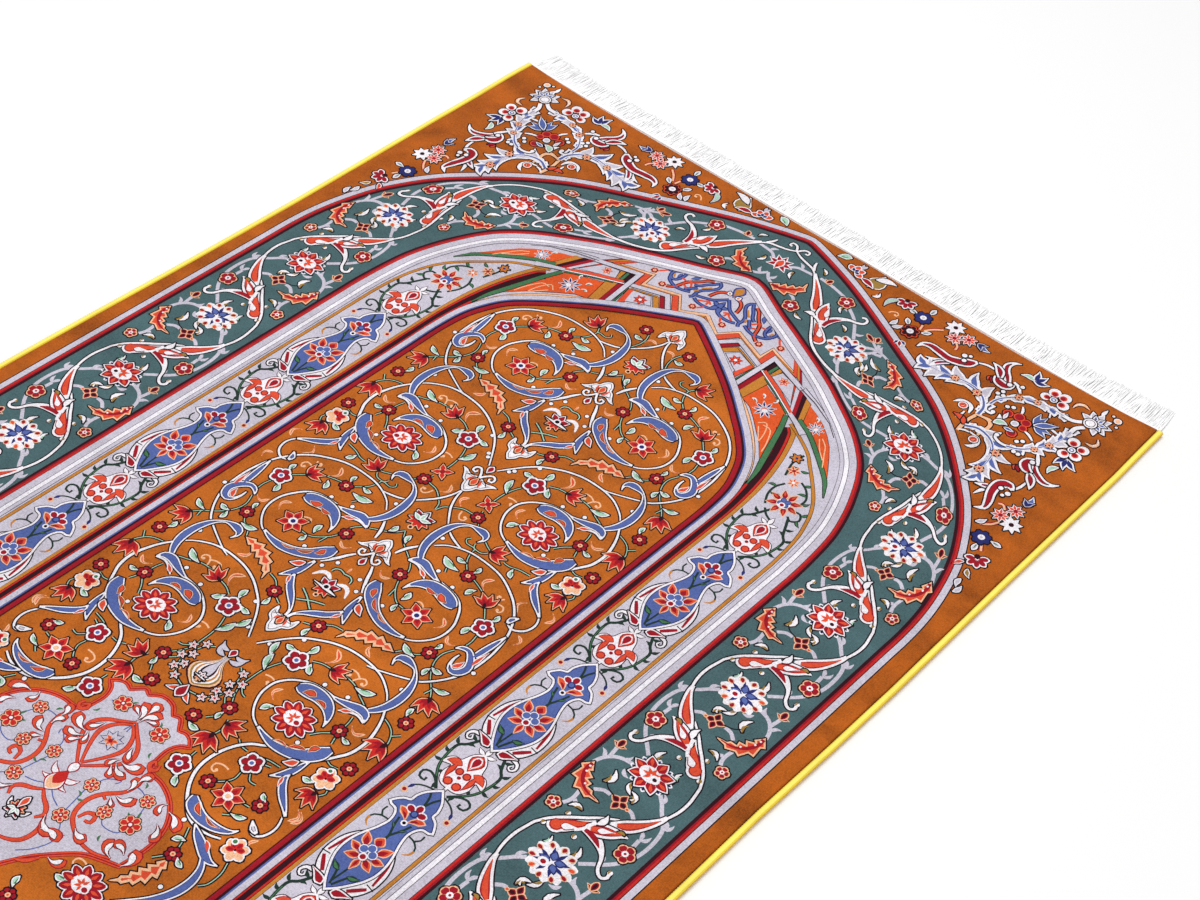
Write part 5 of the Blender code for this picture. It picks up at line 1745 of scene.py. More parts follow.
def medallion_side(chart):
    """Straps, half palmettes and small flowers on one hand of the medallion."""
    blue = ([(0, 1089), (2, 1100)], [(16, 1084), (27, 1080), (38, 1085)],
            [(54, 1135), (66, 1134), (79, 1138)], [(28, 1162), (32, 1148), (44, 1140), (42, 1146)],
            [(88, 1166), (84, 1150), (79, 1138)], [(27, 1168), (30, 1182), (34, 1203)],
            [(60, 1174), (70, 1184), (86, 1180), (88, 1166)],
            [(34, 1203), (44, 1212), (52, 1226), (46, 1244), (36, 1256)], [(4, 1190), (14, 1196), (24, 1199)])
    for points in blue:
        chart.line("blue", points, 0, width=1.2)
    coral_line(chart, [(0, 1086), (12, 1095), (24, 1104), (31, 1116), (27, 1129), (15, 1143), (0, 1158)],
               [(0, 1090), (10, 1098), (16, 1108), (17, 1119), (11, 1134), (0, 1153)],
               [(53, 1107), (49, 1103), (47, 1108), (52, 1113), (57, 1109), (55, 1103)],
               [(52, 1110), (56, 1121), (58, 1135), (55, 1147), (45, 1159), (39, 1170), (38, 1183),
                (43, 1196), (56, 1205), (72, 1210), (88, 1209), (104, 1202)],
               [(47, 1194), (50, 1184), (58, 1182), (60, 1190), (54, 1192)], [(42, 1161), (50, 1164)],
               [(0, 1196), (8, 1202), (18, 1207), (23, 1214), (19, 1222)],
               [(18, 1208), (28, 1218), (33, 1232), (30, 1246), (20, 1254), (8, 1258)],
               [(58, 1246), (52, 1256), (44, 1262)])
    coral_leaves(chart, (21, 1106, 150, 17, 7, 0.1), (24, 1124, 200, 14, 6, 0.1), (26, 1126, 62, 21, 10, 0.2),
                 (24, 1130, 105, 18, 8, 0.2), (22, 1134, 140, 14, 7, 0.0), (57, 1132, 20, 15, 8, -0.2),
                 (56, 1144, -20, 15, 8, 0.2), (52, 1154, 58, 18, 8, 0.3), (50, 1158, 130, 12, 6, 0.0),
                 (101, 1132, 120, 21, 9, -0.2), (104, 1148, 150, 18, 8, -0.2), (95, 1126, 170, 14, 6, 0.3),
                 (116, 1202, -10, 19, 10, 0.3), (104, 1202, -40, 18, 8, -0.3), (110, 1192, -80, 16, 8, 0.2),
                 (55, 1203, 95, 16, 9, 0.2), (24, 1212, 120, 22, 8, 0.2), (33, 1226, 85, 20, 9, -0.2),
                 (62, 1240, 60, 16, 8, 0.3))
    for u, v, radius, turn in ((27, 1080, 10.5, 0), (28, 1162, 8.5, 20), (79, 1138, 8.5, 0),
                               (88, 1166, 11.5, 10), (60, 1173.5, 8.5, 25), (34.5, 1203.5, 9, 15)):
        with chart.placed(u, v, radius, turn):
            chart.petals(("maroon", "peach", "red"), 6, 0.14, 0.88, 0.84, 10, rim=0.0010)
            chart.dot(("crimson", "ivory"), 0.0, 0.0, 0.30, 14)
    for u, v, turn in ((38, 1099, 150), (66, 1130, -40), (85, 1150, 150), (78, 1192, 150), (76, 1158, 100),
                       (20, 1075, -30), (30, 1181, 60), (30, 1178, -60), (48, 1216, 80)):
        chart.leaf(("green",), u, v, turn, 7, 2.6, 4, 0.2, BLADE, RIM, 5)


def medallion_axis(chart):
    """On the medallion's middle line: a trefoil, a flower in the drop, a red-hearted lily and a palmette."""
    for side in (-1, 1):
        coral_leaves(chart, (side * 2, 1085, side * 32, 20, 9, side * -0.25),
                     (side * 4, 1079, side * 64, 13, 6, 0.0))
        chart.leaf(("crimson", "ivory"), side * 2, 1176, side * 58, 18, 8, 6, side * 0.2, BLADE, 0.0012)
        chart.leaf(("crimson", "ivory"), side * 3, 1178, side * 112, 16, 7, 6, side * 0.2, BLADE, 0.0012)
        chart.leaf(("ink", "ivory"), side * 2, 1228, side * 60, 13, 6, 4, side * 0.2, BLADE)
    coral_leaves(chart, (0, 1072, 0, 15, 10, 0.0), level=8)
    with chart.placed(0, 1116, 12.5):
        chart.petals(("navy", "grey"), 8, 0.10, 0.90, 0.52, 6, sweep=300.0, shape=POINTED, rim=0.0009)
        chart.petals(("peach", "coral"), 5, 0.05, 0.60, 0.40, 9, 180.0, 200.0, POINTED, rim=0.0009)
        chart.disc("crimson", 0.0, 0.1, 0.18, 12, count=8)
    chart.leaf(("crimson", "ivory", "peach"), 0, 1166, 180, 30, 21, 8, 0.0, SPEAR, 0.0014, 9)
    chart.leaf(("red",), 0, 1166, 180, 20, 13, 11, 0.0, SPEAR, RIM, 7)
    chart.leaf(("crimson", "ivory"), 0, 1168, 0, 14, 11, 12, 0.0, PETAL, 0.0013)
    palmette(chart, 0, 1228, 11, 180, 5)
    chart.leaf(("ink", "ivory", "coral"), 0, 1226, 0, 16, 8, 14, 0.0, SPEAR, 0.0012)


# ---------------------------------------------------------------- laying the pattern into the pile

# The map that keeps how many shapes already lie at a spot, in rug widths
CELL = 0.0008
MAP_LENGTH, MAP_WIDTH = 1.80, 1.10
MAP_LEFT, MAP_HEAD = 0.55, 0.04  # how far it reaches to the left of the middle line and past the head

GROUND_DROP = 0.0003  # the plain ground lies this much under the top of the solid
LAYER = 0.00003  # each shape stands this much above those under it
RIM_FALL = 1.4  # layers that a shape's rim falls
UV_SPAN = 1.30  # the plan of a piece is spread over this many metres for its bake


class Relief:
    """Counts how many shapes lie at each spot, so that a new shape rests on those under it."""

    def __init__(self):
        self.count = np.zeros((int(MAP_LENGTH / CELL), int(MAP_WIDTH / CELL)), np.int16)

    def cells(self, points):
        """The cells under some points."""
        column = np.clip(((points[..., 0] + MAP_LEFT) / CELL).astype(int), 0, self.count.shape[1] - 1)
        row = np.clip(((points[..., 1] + MAP_HEAD) / CELL).astype(int), 0, self.count.shape[0] - 1)
        return row, column

    def inside(self, outline):
        """The cells inside an outline, row by row."""
        start, end = outline, np.roll(outline, -1, axis=0)
        rows, columns = [], []
        low, high = outline[:, 1].min(), outline[:, 1].max()
        for row in range(int((low + MAP_HEAD) / CELL), int((high + MAP_HEAD) / CELL) + 1):
            v = (row + 0.5) * CELL - MAP_HEAD
            crossed = (start[:, 1] <= v) != (end[:, 1] <= v)
            if not crossed.any():
                continue
            share = (v - start[crossed, 1]) / (end[crossed, 1] - start[crossed, 1])
            places = np.sort(start[crossed, 0] + (end[crossed, 0] - start[crossed, 0]) * share)
            for left, right in zip(places[::2], places[1::2]):
                span = np.arange(int((left + MAP_LEFT) / CELL), int((right + MAP_LEFT) / CELL) + 1)
                rows.append(np.full(len(span), row))
                columns.append(span)
        if not rows:
            return self.cells(outline)
        rows = np.clip(np.concatenate(rows), 0, self.count.shape[0] - 1)
        return rows, np.clip(np.concatenate(columns), 0, self.count.shape[1] - 1)

    def lay_fill(self, outline):
        """The layer of a flat patch."""
        cells = self.inside(outline)
        layer = int(self.count[cells].max()) + 1
        self.count[cells] = layer
        return layer

    def lay_band(self, left, right):
        """The layer of each pair of points along a band."""
        across = int(np.ceil(np.linalg.norm(right - left, axis=1).max() / CELL)) + 1
        steps = np.linalg.norm(np.diff((left + right) / 2, axis=0), axis=1).max()
        onwards = int(np.ceil(steps / CELL)) + 1
        share = np.linspace(0.0, 1.0, across)[None, :, None]
        rails = left[:, None] * (1.0 - share) + right[:, None] * share
        share = np.linspace(0.0, 1.0, onwards)[None, :, None, None]
        spots = rails[:-1, None] * (1.0 - share) + rails[1:, None] * share
        cells = self.cells(spots)
        under = self.count[cells].max(axis=(1, 2))
        layers = np.maximum(np.append(under, under[-1]), np.insert(under, 0, under[0])) + 1
        self.count[cells] = np.maximum(layers[:-1], layers[1:])[:, None, None]
        return layers


def on_the_rug(points, layers, extra=0.0):
    """Charted points as places in the frame, each on its layer."""
    x = MIDDLE_X + points[:, 0] * RUG_WIDTH
    y = HEAD_Y - points[:, 1] * RUG_WIDTH
    z = CLOTH_TOP - GROUND_DROP + np.asarray(layers) * LAYER + extra
    return np.column_stack([x, y, np.broadcast_to(z, len(points))])


class DyeMesh:
    """Faces of one dye, gathered shape by shape."""

    def __init__(self):
        self.points = []
        self.faces = []
        self.total = 0

    def add(self, points, faces):
        """Adds a shape with its own numbering."""
        self.points.append(points)
        self.faces.extend([tuple(index + self.total for index in face) for face in faces])
        self.total += len(points)

    def add_fill(self, outline, layer):
        """A flat patch whose rim falls to the layer below."""
        area = np.sum(outline[:, 0] * np.roll(outline[:, 1], -1) - np.roll(outline[:, 0], -1) * outline[:, 1])
        if area > 0:  # v runs down, so this turns the patch face up
            outline = outline[::-1]
        count = len(outline)
        top = on_the_rug(outline, layer)
        foot = on_the_rug(outline, layer - RIM_FALL)
        faces = [tuple(range(count))]
        for index in range(count):
            following = (index + 1) % count
            faces.append((following, index, index + count, following + count))
        self.add(np.vstack([top, foot]), faces)

    def add_band(self, left, right, layers, crown, rim):
        """A strip, with a raised middle where it has a crown and a falling rim where asked."""
        count = len(left)
        # each a line, its lift in metres and its fall in layers
        rails = [(left, 0.0, 0.0), (right, 0.0, 0.0)]
        if crown:
            rails.insert(1, ((left + right) / 2, crown * RUG_WIDTH, 0.0))
        if rim:
            rails = [(left, 0.0, RIM_FALL)] + rails + [(right, 0.0, RIM_FALL)]
        points = [on_the_rug(line, layers - fall, lift) for line, lift, fall in rails]
        faces = []
        for rail in range(len(rails) - 1):
            first = rail * count
            second = first + count
            across = points[rail + 1] - points[rail]
            onwards = np.diff((points[rail] + points[rail + 1])[:, :2], axis=0)
            upright = across[:-1, 0] * onwards[:, 1] - across[:-1, 1] * onwards[:, 0] >= 0
            for index in range(count - 1):
                face = (first + index, second + index, second + index + 1, first + index + 1)
                faces.append(face if upright[index] else face[::-1])
        self.add(np.vstack(points), faces)


RIMMED = ("saffron", "teal", "grey", "white", "crimson", "orange")  # dyes whose strips get a falling rim


def lay_pattern(chart):
    """Lays every shape of the chart and its mirror image, lowest level first: a mesh for each dye."""
    shapes = [(level, dye, (outline,), 0.0, mirrored) for dye, outline, level, mirrored in chart.fills]
    shapes += [(level, dye, (left, right), crown, mirrored)
               for dye, left, right, level, crown, mirrored in chart.bands]
    shapes.sort(key=lambda shape: shape[0])
    relief = Relief()
    meshes = {}
    for _, dye, lines, crown, mirrored in shapes:
        for hand in ((1.0, -1.0) if mirrored else (1.0,)):
            rails = [line * [hand, 1.0] for line in lines]
            mesh = meshes.setdefault(dye, DyeMesh())
            if len(rails) == 1:
                mesh.add_fill(rails[0], relief.lay_fill(rails[0]))
                continue
            left, right = rails if hand > 0 else rails[::-1]
            mesh.add_band(left, right, relief.lay_band(left, right), crown, dye in RIMMED)
    return meshes


# ---------------------------------------------------------------- shader groups


def node_of(tree, kind, place, **values):
    """A node with its fields and socket values set."""
    node = tree.nodes.new(kind)
    node.location = place
    for name, value in values.items():
        if name in node.inputs:
            node.inputs[name].default_value = value
        else:
            setattr(node, name, value)
    return node


def new_group(name, inputs, outputs):
    """An empty shader group with named sockets: each input is a name, a kind and a value."""
    group = bpy.data.node_groups.new(name, "ShaderNodeTree")
    for label, kind, value in inputs:
        socket = group.interface.new_socket(label, in_out="INPUT", socket_type=kind)
        socket.default_value = value
    for label, kind in outputs:
        group.interface.new_socket(label, in_out="OUTPUT", socket_type=kind)
    start = group.nodes.new("NodeGroupInput")
    end = group.nodes.new("NodeGroupOutput")
    start.location = (-1100, 0)
    end.location = (900, 0)
    return group, start, end


def math_value(tree, operation, place, first, second):
    """The value of a Math node between two values: each is a socket or a plain number."""
    node = node_of(tree, "ShaderNodeMath", place, operation=operation)
    for index, value in enumerate((first, second)):
        if isinstance(value, bpy.types.NodeSocket):
            tree.links.new(value, node.inputs[index])
        else:
            node.inputs[index].default_value = value
    return node.outputs["Value"]


def texture(tree, kind, place, vector, **values):
    """The outputs of a texture node that reads a vector."""
    node = node_of(tree, "ShaderNodeTex" + kind, place, **values)
    tree.links.new(vector, node.inputs["Vector"])
    return node.outputs


def put_out_colour(group, start, end, colour, change, places):
    """The group's own colour, made lighter and darker by a change about nothing."""
    brightness = math_value(group, "ADD", places[0], change, 1.0)
    tinted = node_of(group, "ShaderNodeVectorMath", places[1], operation="SCALE")
    group.links.new(start.outputs[colour], tinted.inputs[0])
    group.links.new(brightness, tinted.inputs["Scale"])
    group.links.new(tinted.outputs["Vector"], end.inputs["Color"])


def put_out_normal(group, start, end, height, strength, place):
    """A bump as deep as the group's own depth."""
    bump = node_of(group, "ShaderNodeBump", place, Strength=strength)
    group.links.new(height, bump.inputs["Height"])
    group.links.new(start.outputs["Depth"], bump.inputs["Distance"])
    group.links.new(bump.outputs["Normal"], end.inputs["Normal"])


def cut_pile_group():
    """Cut wool pile: uneven dye from lot to lot, velvety patches of crushed pile painted into the colour as
    painted sheen and also set as rougher or glossier spots, rows of knots and tuft tips.
    """
    group, start, end = new_group(
        "cut_pile",
        [("Dye", "NodeSocketColor", (0.5, 0.5, 0.5, 1.0)), ("Mottle", "NodeSocketFloat", 0.16),
         ("Grain", "NodeSocketFloat", 0.22), ("Depth", "NodeSocketFloat", 0.0004)],
        [("Color", "NodeSocketColor"), ("Roughness", "NodeSocketFloat"), ("Normal", "NodeSocketVector")],
    )
    place = node_of(group, "ShaderNodeTexCoord", (-1100, -300)).outputs["Object"]
    stretched = node_of(group, "ShaderNodeMapping", (-900, -300), Scale=(2.0, 14.0, 1.0))
    group.links.new(place, stretched.inputs["Vector"])
    lots = texture(group, "Noise", (-700, -300), stretched.outputs["Vector"], Scale=1.6, Detail=3.0,
                   Roughness=0.55)
    # Painted sheen: crushed-pile patches that make the colour lighter and darker. The same patches also vary
    # the roughness.
    painted_sheen_and_roughness_patches = texture(group, "Noise", (-700, -520), place, Scale=34.0, Detail=5.0, Roughness=0.62,
                    Distortion=0.6)
    tufts = texture(group, "Noise", (-700, -740), place, Scale=620.0, Detail=2.0, Roughness=0.6)
    knots = texture(group, "Voronoi", (-700, -960), place, Scale=760.0, Randomness=0.55)

    # Real uneven dye lots, plus the painted sheen of crushed pile.
    both = math_value(group, "ADD", (-480, -400), lots["Fac"], painted_sheen_and_roughness_patches["Fac"])
    centred = math_value(group, "SUBTRACT", (-300, -400), both, 1.0)
    mottled = math_value(group, "MULTIPLY", (-120, -400), centred, start.outputs["Mottle"])
    tuft_centre = math_value(group, "SUBTRACT", (-480, -740), tufts["Fac"], 0.5)
    knot_centre = math_value(group, "SUBTRACT", (-480, -960), 0.42, knots["Distance"])
    grain = math_value(group, "ADD", (-300, -800), tuft_centre, knot_centre)
    grained = math_value(group, "MULTIPLY", (-120, -760), grain, start.outputs["Grain"])
    change = math_value(group, "ADD", (60, -520), mottled, grained)
    put_out_colour(group, start, end, "Dye", change, ((220, -520), (420, -60)))

    rough = node_of(group, "ShaderNodeMapRange", (420, -260))
    rough.inputs["To Min"].default_value = 0.98
    rough.inputs["To Max"].default_value = 0.78
    group.links.new(painted_sheen_and_roughness_patches["Fac"], rough.inputs["Value"])
    group.links.new(rough.outputs["Result"], end.inputs["Roughness"])
    put_out_normal(group, start, end, grain, 0.9, (420, -700))
    return group


def spun_yarn_group():
    """Spun yarn: fine fibres, drawn out by the group's stretch, and lighter and darker patches."""
    group, start, end = new_group(
        "spun_yarn",
        [("Yarn", "NodeSocketColor", (0.8, 0.8, 0.8, 1.0)),
         ("Stretch", "NodeSocketVector", (900.0, 120.0, 400.0)), ("Change", "NodeSocketFloat", 0.20),
         ("Depth", "NodeSocketFloat", 0.0002)],
        [("Color", "NodeSocketColor"), ("Normal", "NodeSocketVector")],
    )
    place = node_of(group, "ShaderNodeTexCoord", (-1100, -300)).outputs["Object"]
    stretched = node_of(group, "ShaderNodeVectorMath", (-880, -300), operation="MULTIPLY")
    group.links.new(place, stretched.inputs[0])
    group.links.new(start.outputs["Stretch"], stretched.inputs[1])
    fibres = texture(group, "Noise", (-680, -300), stretched.outputs["Vector"], Scale=1.0, Detail=4.0,
                     Roughness=0.6)
    soil = texture(group, "Noise", (-680, -520), place, Scale=30.0, Detail=3.0)
    both = math_value(group, "ADD", (-460, -400), fibres["Fac"], soil["Fac"])
    centred = math_value(group, "SUBTRACT", (-280, -400), both, 1.0)
    change = math_value(group, "MULTIPLY", (-100, -400), centred, start.outputs["Change"])
    put_out_colour(group, start, end, "Yarn", change, ((80, -400), (300, -100)))
    put_out_normal(group, start, end, fibres["Fac"], 0.8, (300, -500))
    return group


# ---------------------------------------------------------------- materials

CUT_PILE = cut_pile_group()
SPUN_YARN = spun_yarn_group()


def linear(colour):
    """A display colour from 0 to 255 as linear light."""
    shares = [value / 255.0 for value in colour]
    return tuple(share / 12.92 if share <= 0.04045 else ((share + 0.055) / 1.055) ** 2.4 for share in shares)


DYES = {  # as a display shows them, from 0 to 255
    "saffron": (190, 101, 29), "amber": (174, 88, 20), "teal": (74, 102, 106), "grey": (205, 198, 212),
    "ivory": (245, 240, 245), "white": (245, 240, 248), "crimson": (160, 18, 36), "red": (205, 40, 35),
    "coral": (225, 80, 50), "maroon": (52, 12, 24), "blue": (86, 104, 168), "navy": (40, 45, 110),
    "green": (70, 120, 80), "moss": (34, 54, 46), "mint": (170, 210, 185), "tan": (200, 130, 50),
    "peach": (245, 190, 150), "olive": (160, 125, 60), "orange": (228, 90, 38), "ink": (26, 12, 22),
}
MOTTLE = {"saffron": 0.90, "amber": 1.10, "teal": 0.65}  # how strongly the grounds vary: uneven dye lots, plus painted sheen patches of crushed pile
EVEN_MOTTLE = 0.40  # and all other dyes
DULL_DYES = ("ink", "maroon")  # these have little sheen
YARN_ROUGHNESS = 0.75


def shader_of(material, group, effect_values, sheen, sheen_tint):
    """Puts an effect group in front of a Principled BSDF and sets what is the same all over."""
    material.use_nodes = True
    tree = material.node_tree
    shader = tree.nodes["Principled BSDF"]
    effect = tree.nodes.new("ShaderNodeGroup")
    effect.node_tree = group
    effect.location = (-320, 200)
    for name, value in effect_values.items():
        effect.inputs[name].default_value = value
    tree.links.new(effect.outputs["Color"], shader.inputs["Base Color"])
    tree.links.new(effect.outputs["Normal"], shader.inputs["Normal"])
    if "Roughness" in effect.outputs:
        tree.links.new(effect.outputs["Roughness"], shader.inputs["Roughness"])
    else:
        shader.inputs["Roughness"].default_value = YARN_ROUGHNESS
    shader.inputs["Specular IOR Level"].default_value = 0.18
    shader.inputs["Sheen Weight"].default_value = sheen
    shader.inputs["Sheen Roughness"].default_value = 0.45
    shader.inputs["Sheen Tint"].default_value = (*sheen_tint, 1.0)
    return material


def pile_material(dye):
    """Cut pile in one dye."""
    colour = linear(DYES[dye])
    tint = tuple(0.5 + 0.5 * value for value in colour)
    mottle = MOTTLE.get(dye, EVEN_MOTTLE)
    values = {"Dye": (*colour, 1.0), "Mottle": mottle, "Grain": 0.50, "Depth": 0.0005}
    sheen = 0.02 if dye in DULL_DYES else 0.10
    return shader_of(bpy.data.materials.new(dye + "_pile"), CUT_PILE, values, sheen, tint)


def yarn_material(name, display_colour, stretch, change, depth):
    """Spun yarn in one colour."""
    colour = linear(display_colour)
    values = {"Yarn": (*colour, 1.0), "Stretch": stretch, "Change": change, "Depth": depth}
    return shader_of(bpy.data.materials.new(name), SPUN_YARN, values, 0.15, (1.0, 1.0, 1.0))


# ---------------------------------------------------------------- pieces


def make_piece(name, points, faces, materials, smooth_shaded=False):
    """A mesh piece that rides on the rug, with its plan as the layout for a bake."""
    mesh = bpy.data.meshes.new(name)
    mesh.from_pydata([tuple(point) for point in points], [], faces)
    for material in materials:
        mesh.materials.append(material)
    plan = mesh.uv_layers.new(name="OFBake")
    corners = np.empty(len(mesh.loops), np.int32)
    mesh.loops.foreach_get("vertex_index", corners)
    spread = np.asarray(points)[corners][:, :2] / UV_SPAN + 0.5
    plan.data.foreach_set("uv", spread.astype(np.float32).ravel())
    if smooth_shaded:
        mesh.shade_smooth()
    mesh.validate()
    piece = bpy.data.objects.new(name, mesh)
    bpy.context.collection.objects.link(piece)
    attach(piece, "root")
    return piece


def joined_rings(rings, sides, first=0):
    """Quads between rings of points that follow one another."""
    faces = []
    for ring in range(rings - 1):
        near = first + ring * sides
        far = near + sides
        for side in range(sides):
            following = (side + 1) % sides
            faces.append((near + side, near + following, far + following, far + side))
    return faces


def solid_points(node):
    """The points of a CAD node."""
    return np.array([vertex.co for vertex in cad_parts[node].data.vertices])


def cloth_outline():
    """The rug body's own plan, once round, from the lowest points of its solid."""
    low = np.unique(np.round(CLOTH[CLOTH[:, 2] < 1e-5][:, :2], 6), axis=0)
    angles = np.arctan2(low[:, 1], low[:, 0])
    return low[np.argsort(angles)]


PILE_ROUND = 0.0016  # how far the pile's rim falls back
BACKING = 0.0010  # thickness of the woven backing under the pile
BACKING_ROUND = 0.0003  # rounding of its lower edge
ROUND_ROWS = 5


def pile_ground(material, backing):
    """The plain ground: backing, straight lower wall and a rim of pile that rounds over."""
    outline = cloth_outline()
    # each level is how far it lies back from the outline, and its height
    levels = [(BACKING_ROUND, 0.0), (0.0, BACKING_ROUND), (0.0, BACKING), (0.0002, BACKING + 0.0001)]
    top = CLOTH_TOP - GROUND_DROP
    for step in range(ROUND_ROWS + 1):
        angle = math.pi / 2 * step / ROUND_ROWS
        levels.append((PILE_ROUND * (1.0 - math.cos(angle)), top - PILE_ROUND * (1.0 - math.sin(angle))))
    points = []
    for back, height in levels:
        ring = inset(outline, back)
        points.append(np.column_stack([ring, np.full(len(ring), height)]))
    count = len(outline)
    faces = [tuple(range(count))[::-1]] + joined_rings(len(levels), count)
    faces.append(tuple((len(levels) - 1) * count + index for index in range(count)))
    piece = make_piece("pile_ground", np.vstack(points), faces, [material, backing])
    for index in range(1 + 3 * count):  # the underside and the three rows above it are backing
        piece.data.polygons[index].material_index = 1
    return piece


TURN_PITCH = 0.0021  # of the yarn wound round a side cord
TURN_ROWS = 4  # rings of faces to a turn
CORD_SIDES = 12
CORD_RIDGE = 0.00028  # how far a turn of yarn stands out
CORD_PAINTED_LIGHT = (0, 1, 2, 2, 1, 0, 0, 0, 0, 0, 0, 0)  # which copy of the one yarn each face round the cord shows, as painted light: pale is the painted highlight on top, yellow the shoulders, golden painted shade on the sides and underneath
ROW_SPACING = 0.006  # least distance between two places where the solid's middle is read
ROW_REACH = 0.003  # its points within this distance count


def bound_side(node, yarns, lean):
    """The overcast cord along one side, following its solid, with each turn of yarn as a ridge, a painted
    highlight along its top and painted shade down its sides.
    """
    solid = solid_points(node)
    rows = []
    for y in np.unique(np.round(solid[:, 1], 4))[::-1]:
        near = solid[np.abs(solid[:, 1] - y) < ROW_REACH]
        rows.append(((near[:, 0].min() + near[:, 0].max()) / 2, y))
    rows = np.array(rows)
    kept = rows[np.insert(np.diff(rows[:, 1]) < -ROW_SPACING, 0, True)]
    half_width = np.ptp(solid[np.abs(solid[:, 1] - kept[0, 1]) < ROW_REACH][:, 0]) / 2
    height = solid[:, 2].max()
    top, foot = solid[:, 1].max(), solid[:, 1].min()
    count = int((top - foot) / TURN_PITCH * TURN_ROWS)
    y = np.linspace(top, foot, count + 1)
    middle = np.interp(-y, -kept[:, 1], kept[:, 0])
    angles = np.linspace(0.0, 2 * np.pi, CORD_SIDES, endpoint=False)
    points = []
    for index in range(count + 1):
        phase = index / TURN_ROWS + lean * np.cos(angles)
        ridge = -CORD_RIDGE * (0.5 + 0.5 * np.cos(2 * np.pi * phase))
        x = middle[index] + (half_width + ridge) * np.cos(angles)
        z = height / 2 + (height / 2 + ridge) * np.sin(angles)
        points.append(np.column_stack([x, np.full(CORD_SIDES, y[index]), z]))
    faces = joined_rings(count + 1, CORD_SIDES)
    faces.append(tuple(range(CORD_SIDES))[::-1])
    faces.append(tuple(count * CORD_SIDES + side for side in range(CORD_SIDES)))
    name = node.replace("selvedge", "bound_side")
    piece = make_piece(name, np.vstack(points), faces, yarns, smooth_shaded=True)
    # Painted light round the cord: the pale copy is a highlight on the top faces, and golden is shade on the
    # sides, underneath and on the end caps.
    tones = np.append(np.tile(CORD_PAINTED_LIGHT, count), (0, 0))
    piece.data.polygons.foreach_set("material_index", tones.astype(np.int32))
    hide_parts(node)
    return piece


THREADS = 1150  # in the fringe of one end
THREAD_STEPS = 6
THREAD_SIDES = 4
THREAD_THICK = (0.00042, 0.00056)  # from the thinnest to the thickest, half across a thread's corners
TIP_THIN = 0.35  # tip over thickness
STRIP_REACH = 0.0026  # woven strip that the threads grow from
STRIP_SECTION = ((0.0, 0.0), (0.0, 0.0022), (STRIP_REACH, 0.0020), (STRIP_REACH, 0.0))  # outwards and up
FRINGE_INSET = 0.0012  # from the solid's sides
FRINGE_COLUMNS = 60  # places across at which the solid's root and tips are read
COLUMN_REACH = 0.009  # its points within this distance count
ROOT_SHARE = 0.9  # of the solid's height: points above it are its root
ROOT_DEGREE = 6  # of the curve that smooths the root
TIP_HEIGHT = 0.0014  # points below it are its tips
TIP_FROM = 0.93  # of a thread's length
FLOOR_GAP = 0.00002


def root_and_tip_lines(solid, columns, outwards):
    """How far out the fringe's root and its tips lie at some places across. The root is smoothed."""
    edge = solid[solid[:, 2] > solid[:, 2].max() * ROOT_SHARE]
    tips = solid[solid[:, 2] < TIP_HEIGHT]
    root_line, tip_line = [], []
    for column in columns:
        close = np.abs(edge[:, 0] - column) < COLUMN_REACH
        root_line.append((edge[close][:, 1] * outwards).min())
        close = np.abs(tips[:, 0] - column) < COLUMN_REACH
        tip_line.append((tips[close][:, 1] * outwards).max())
    return np.polyval(np.polyfit(columns, root_line, ROOT_DEGREE), columns), tip_line


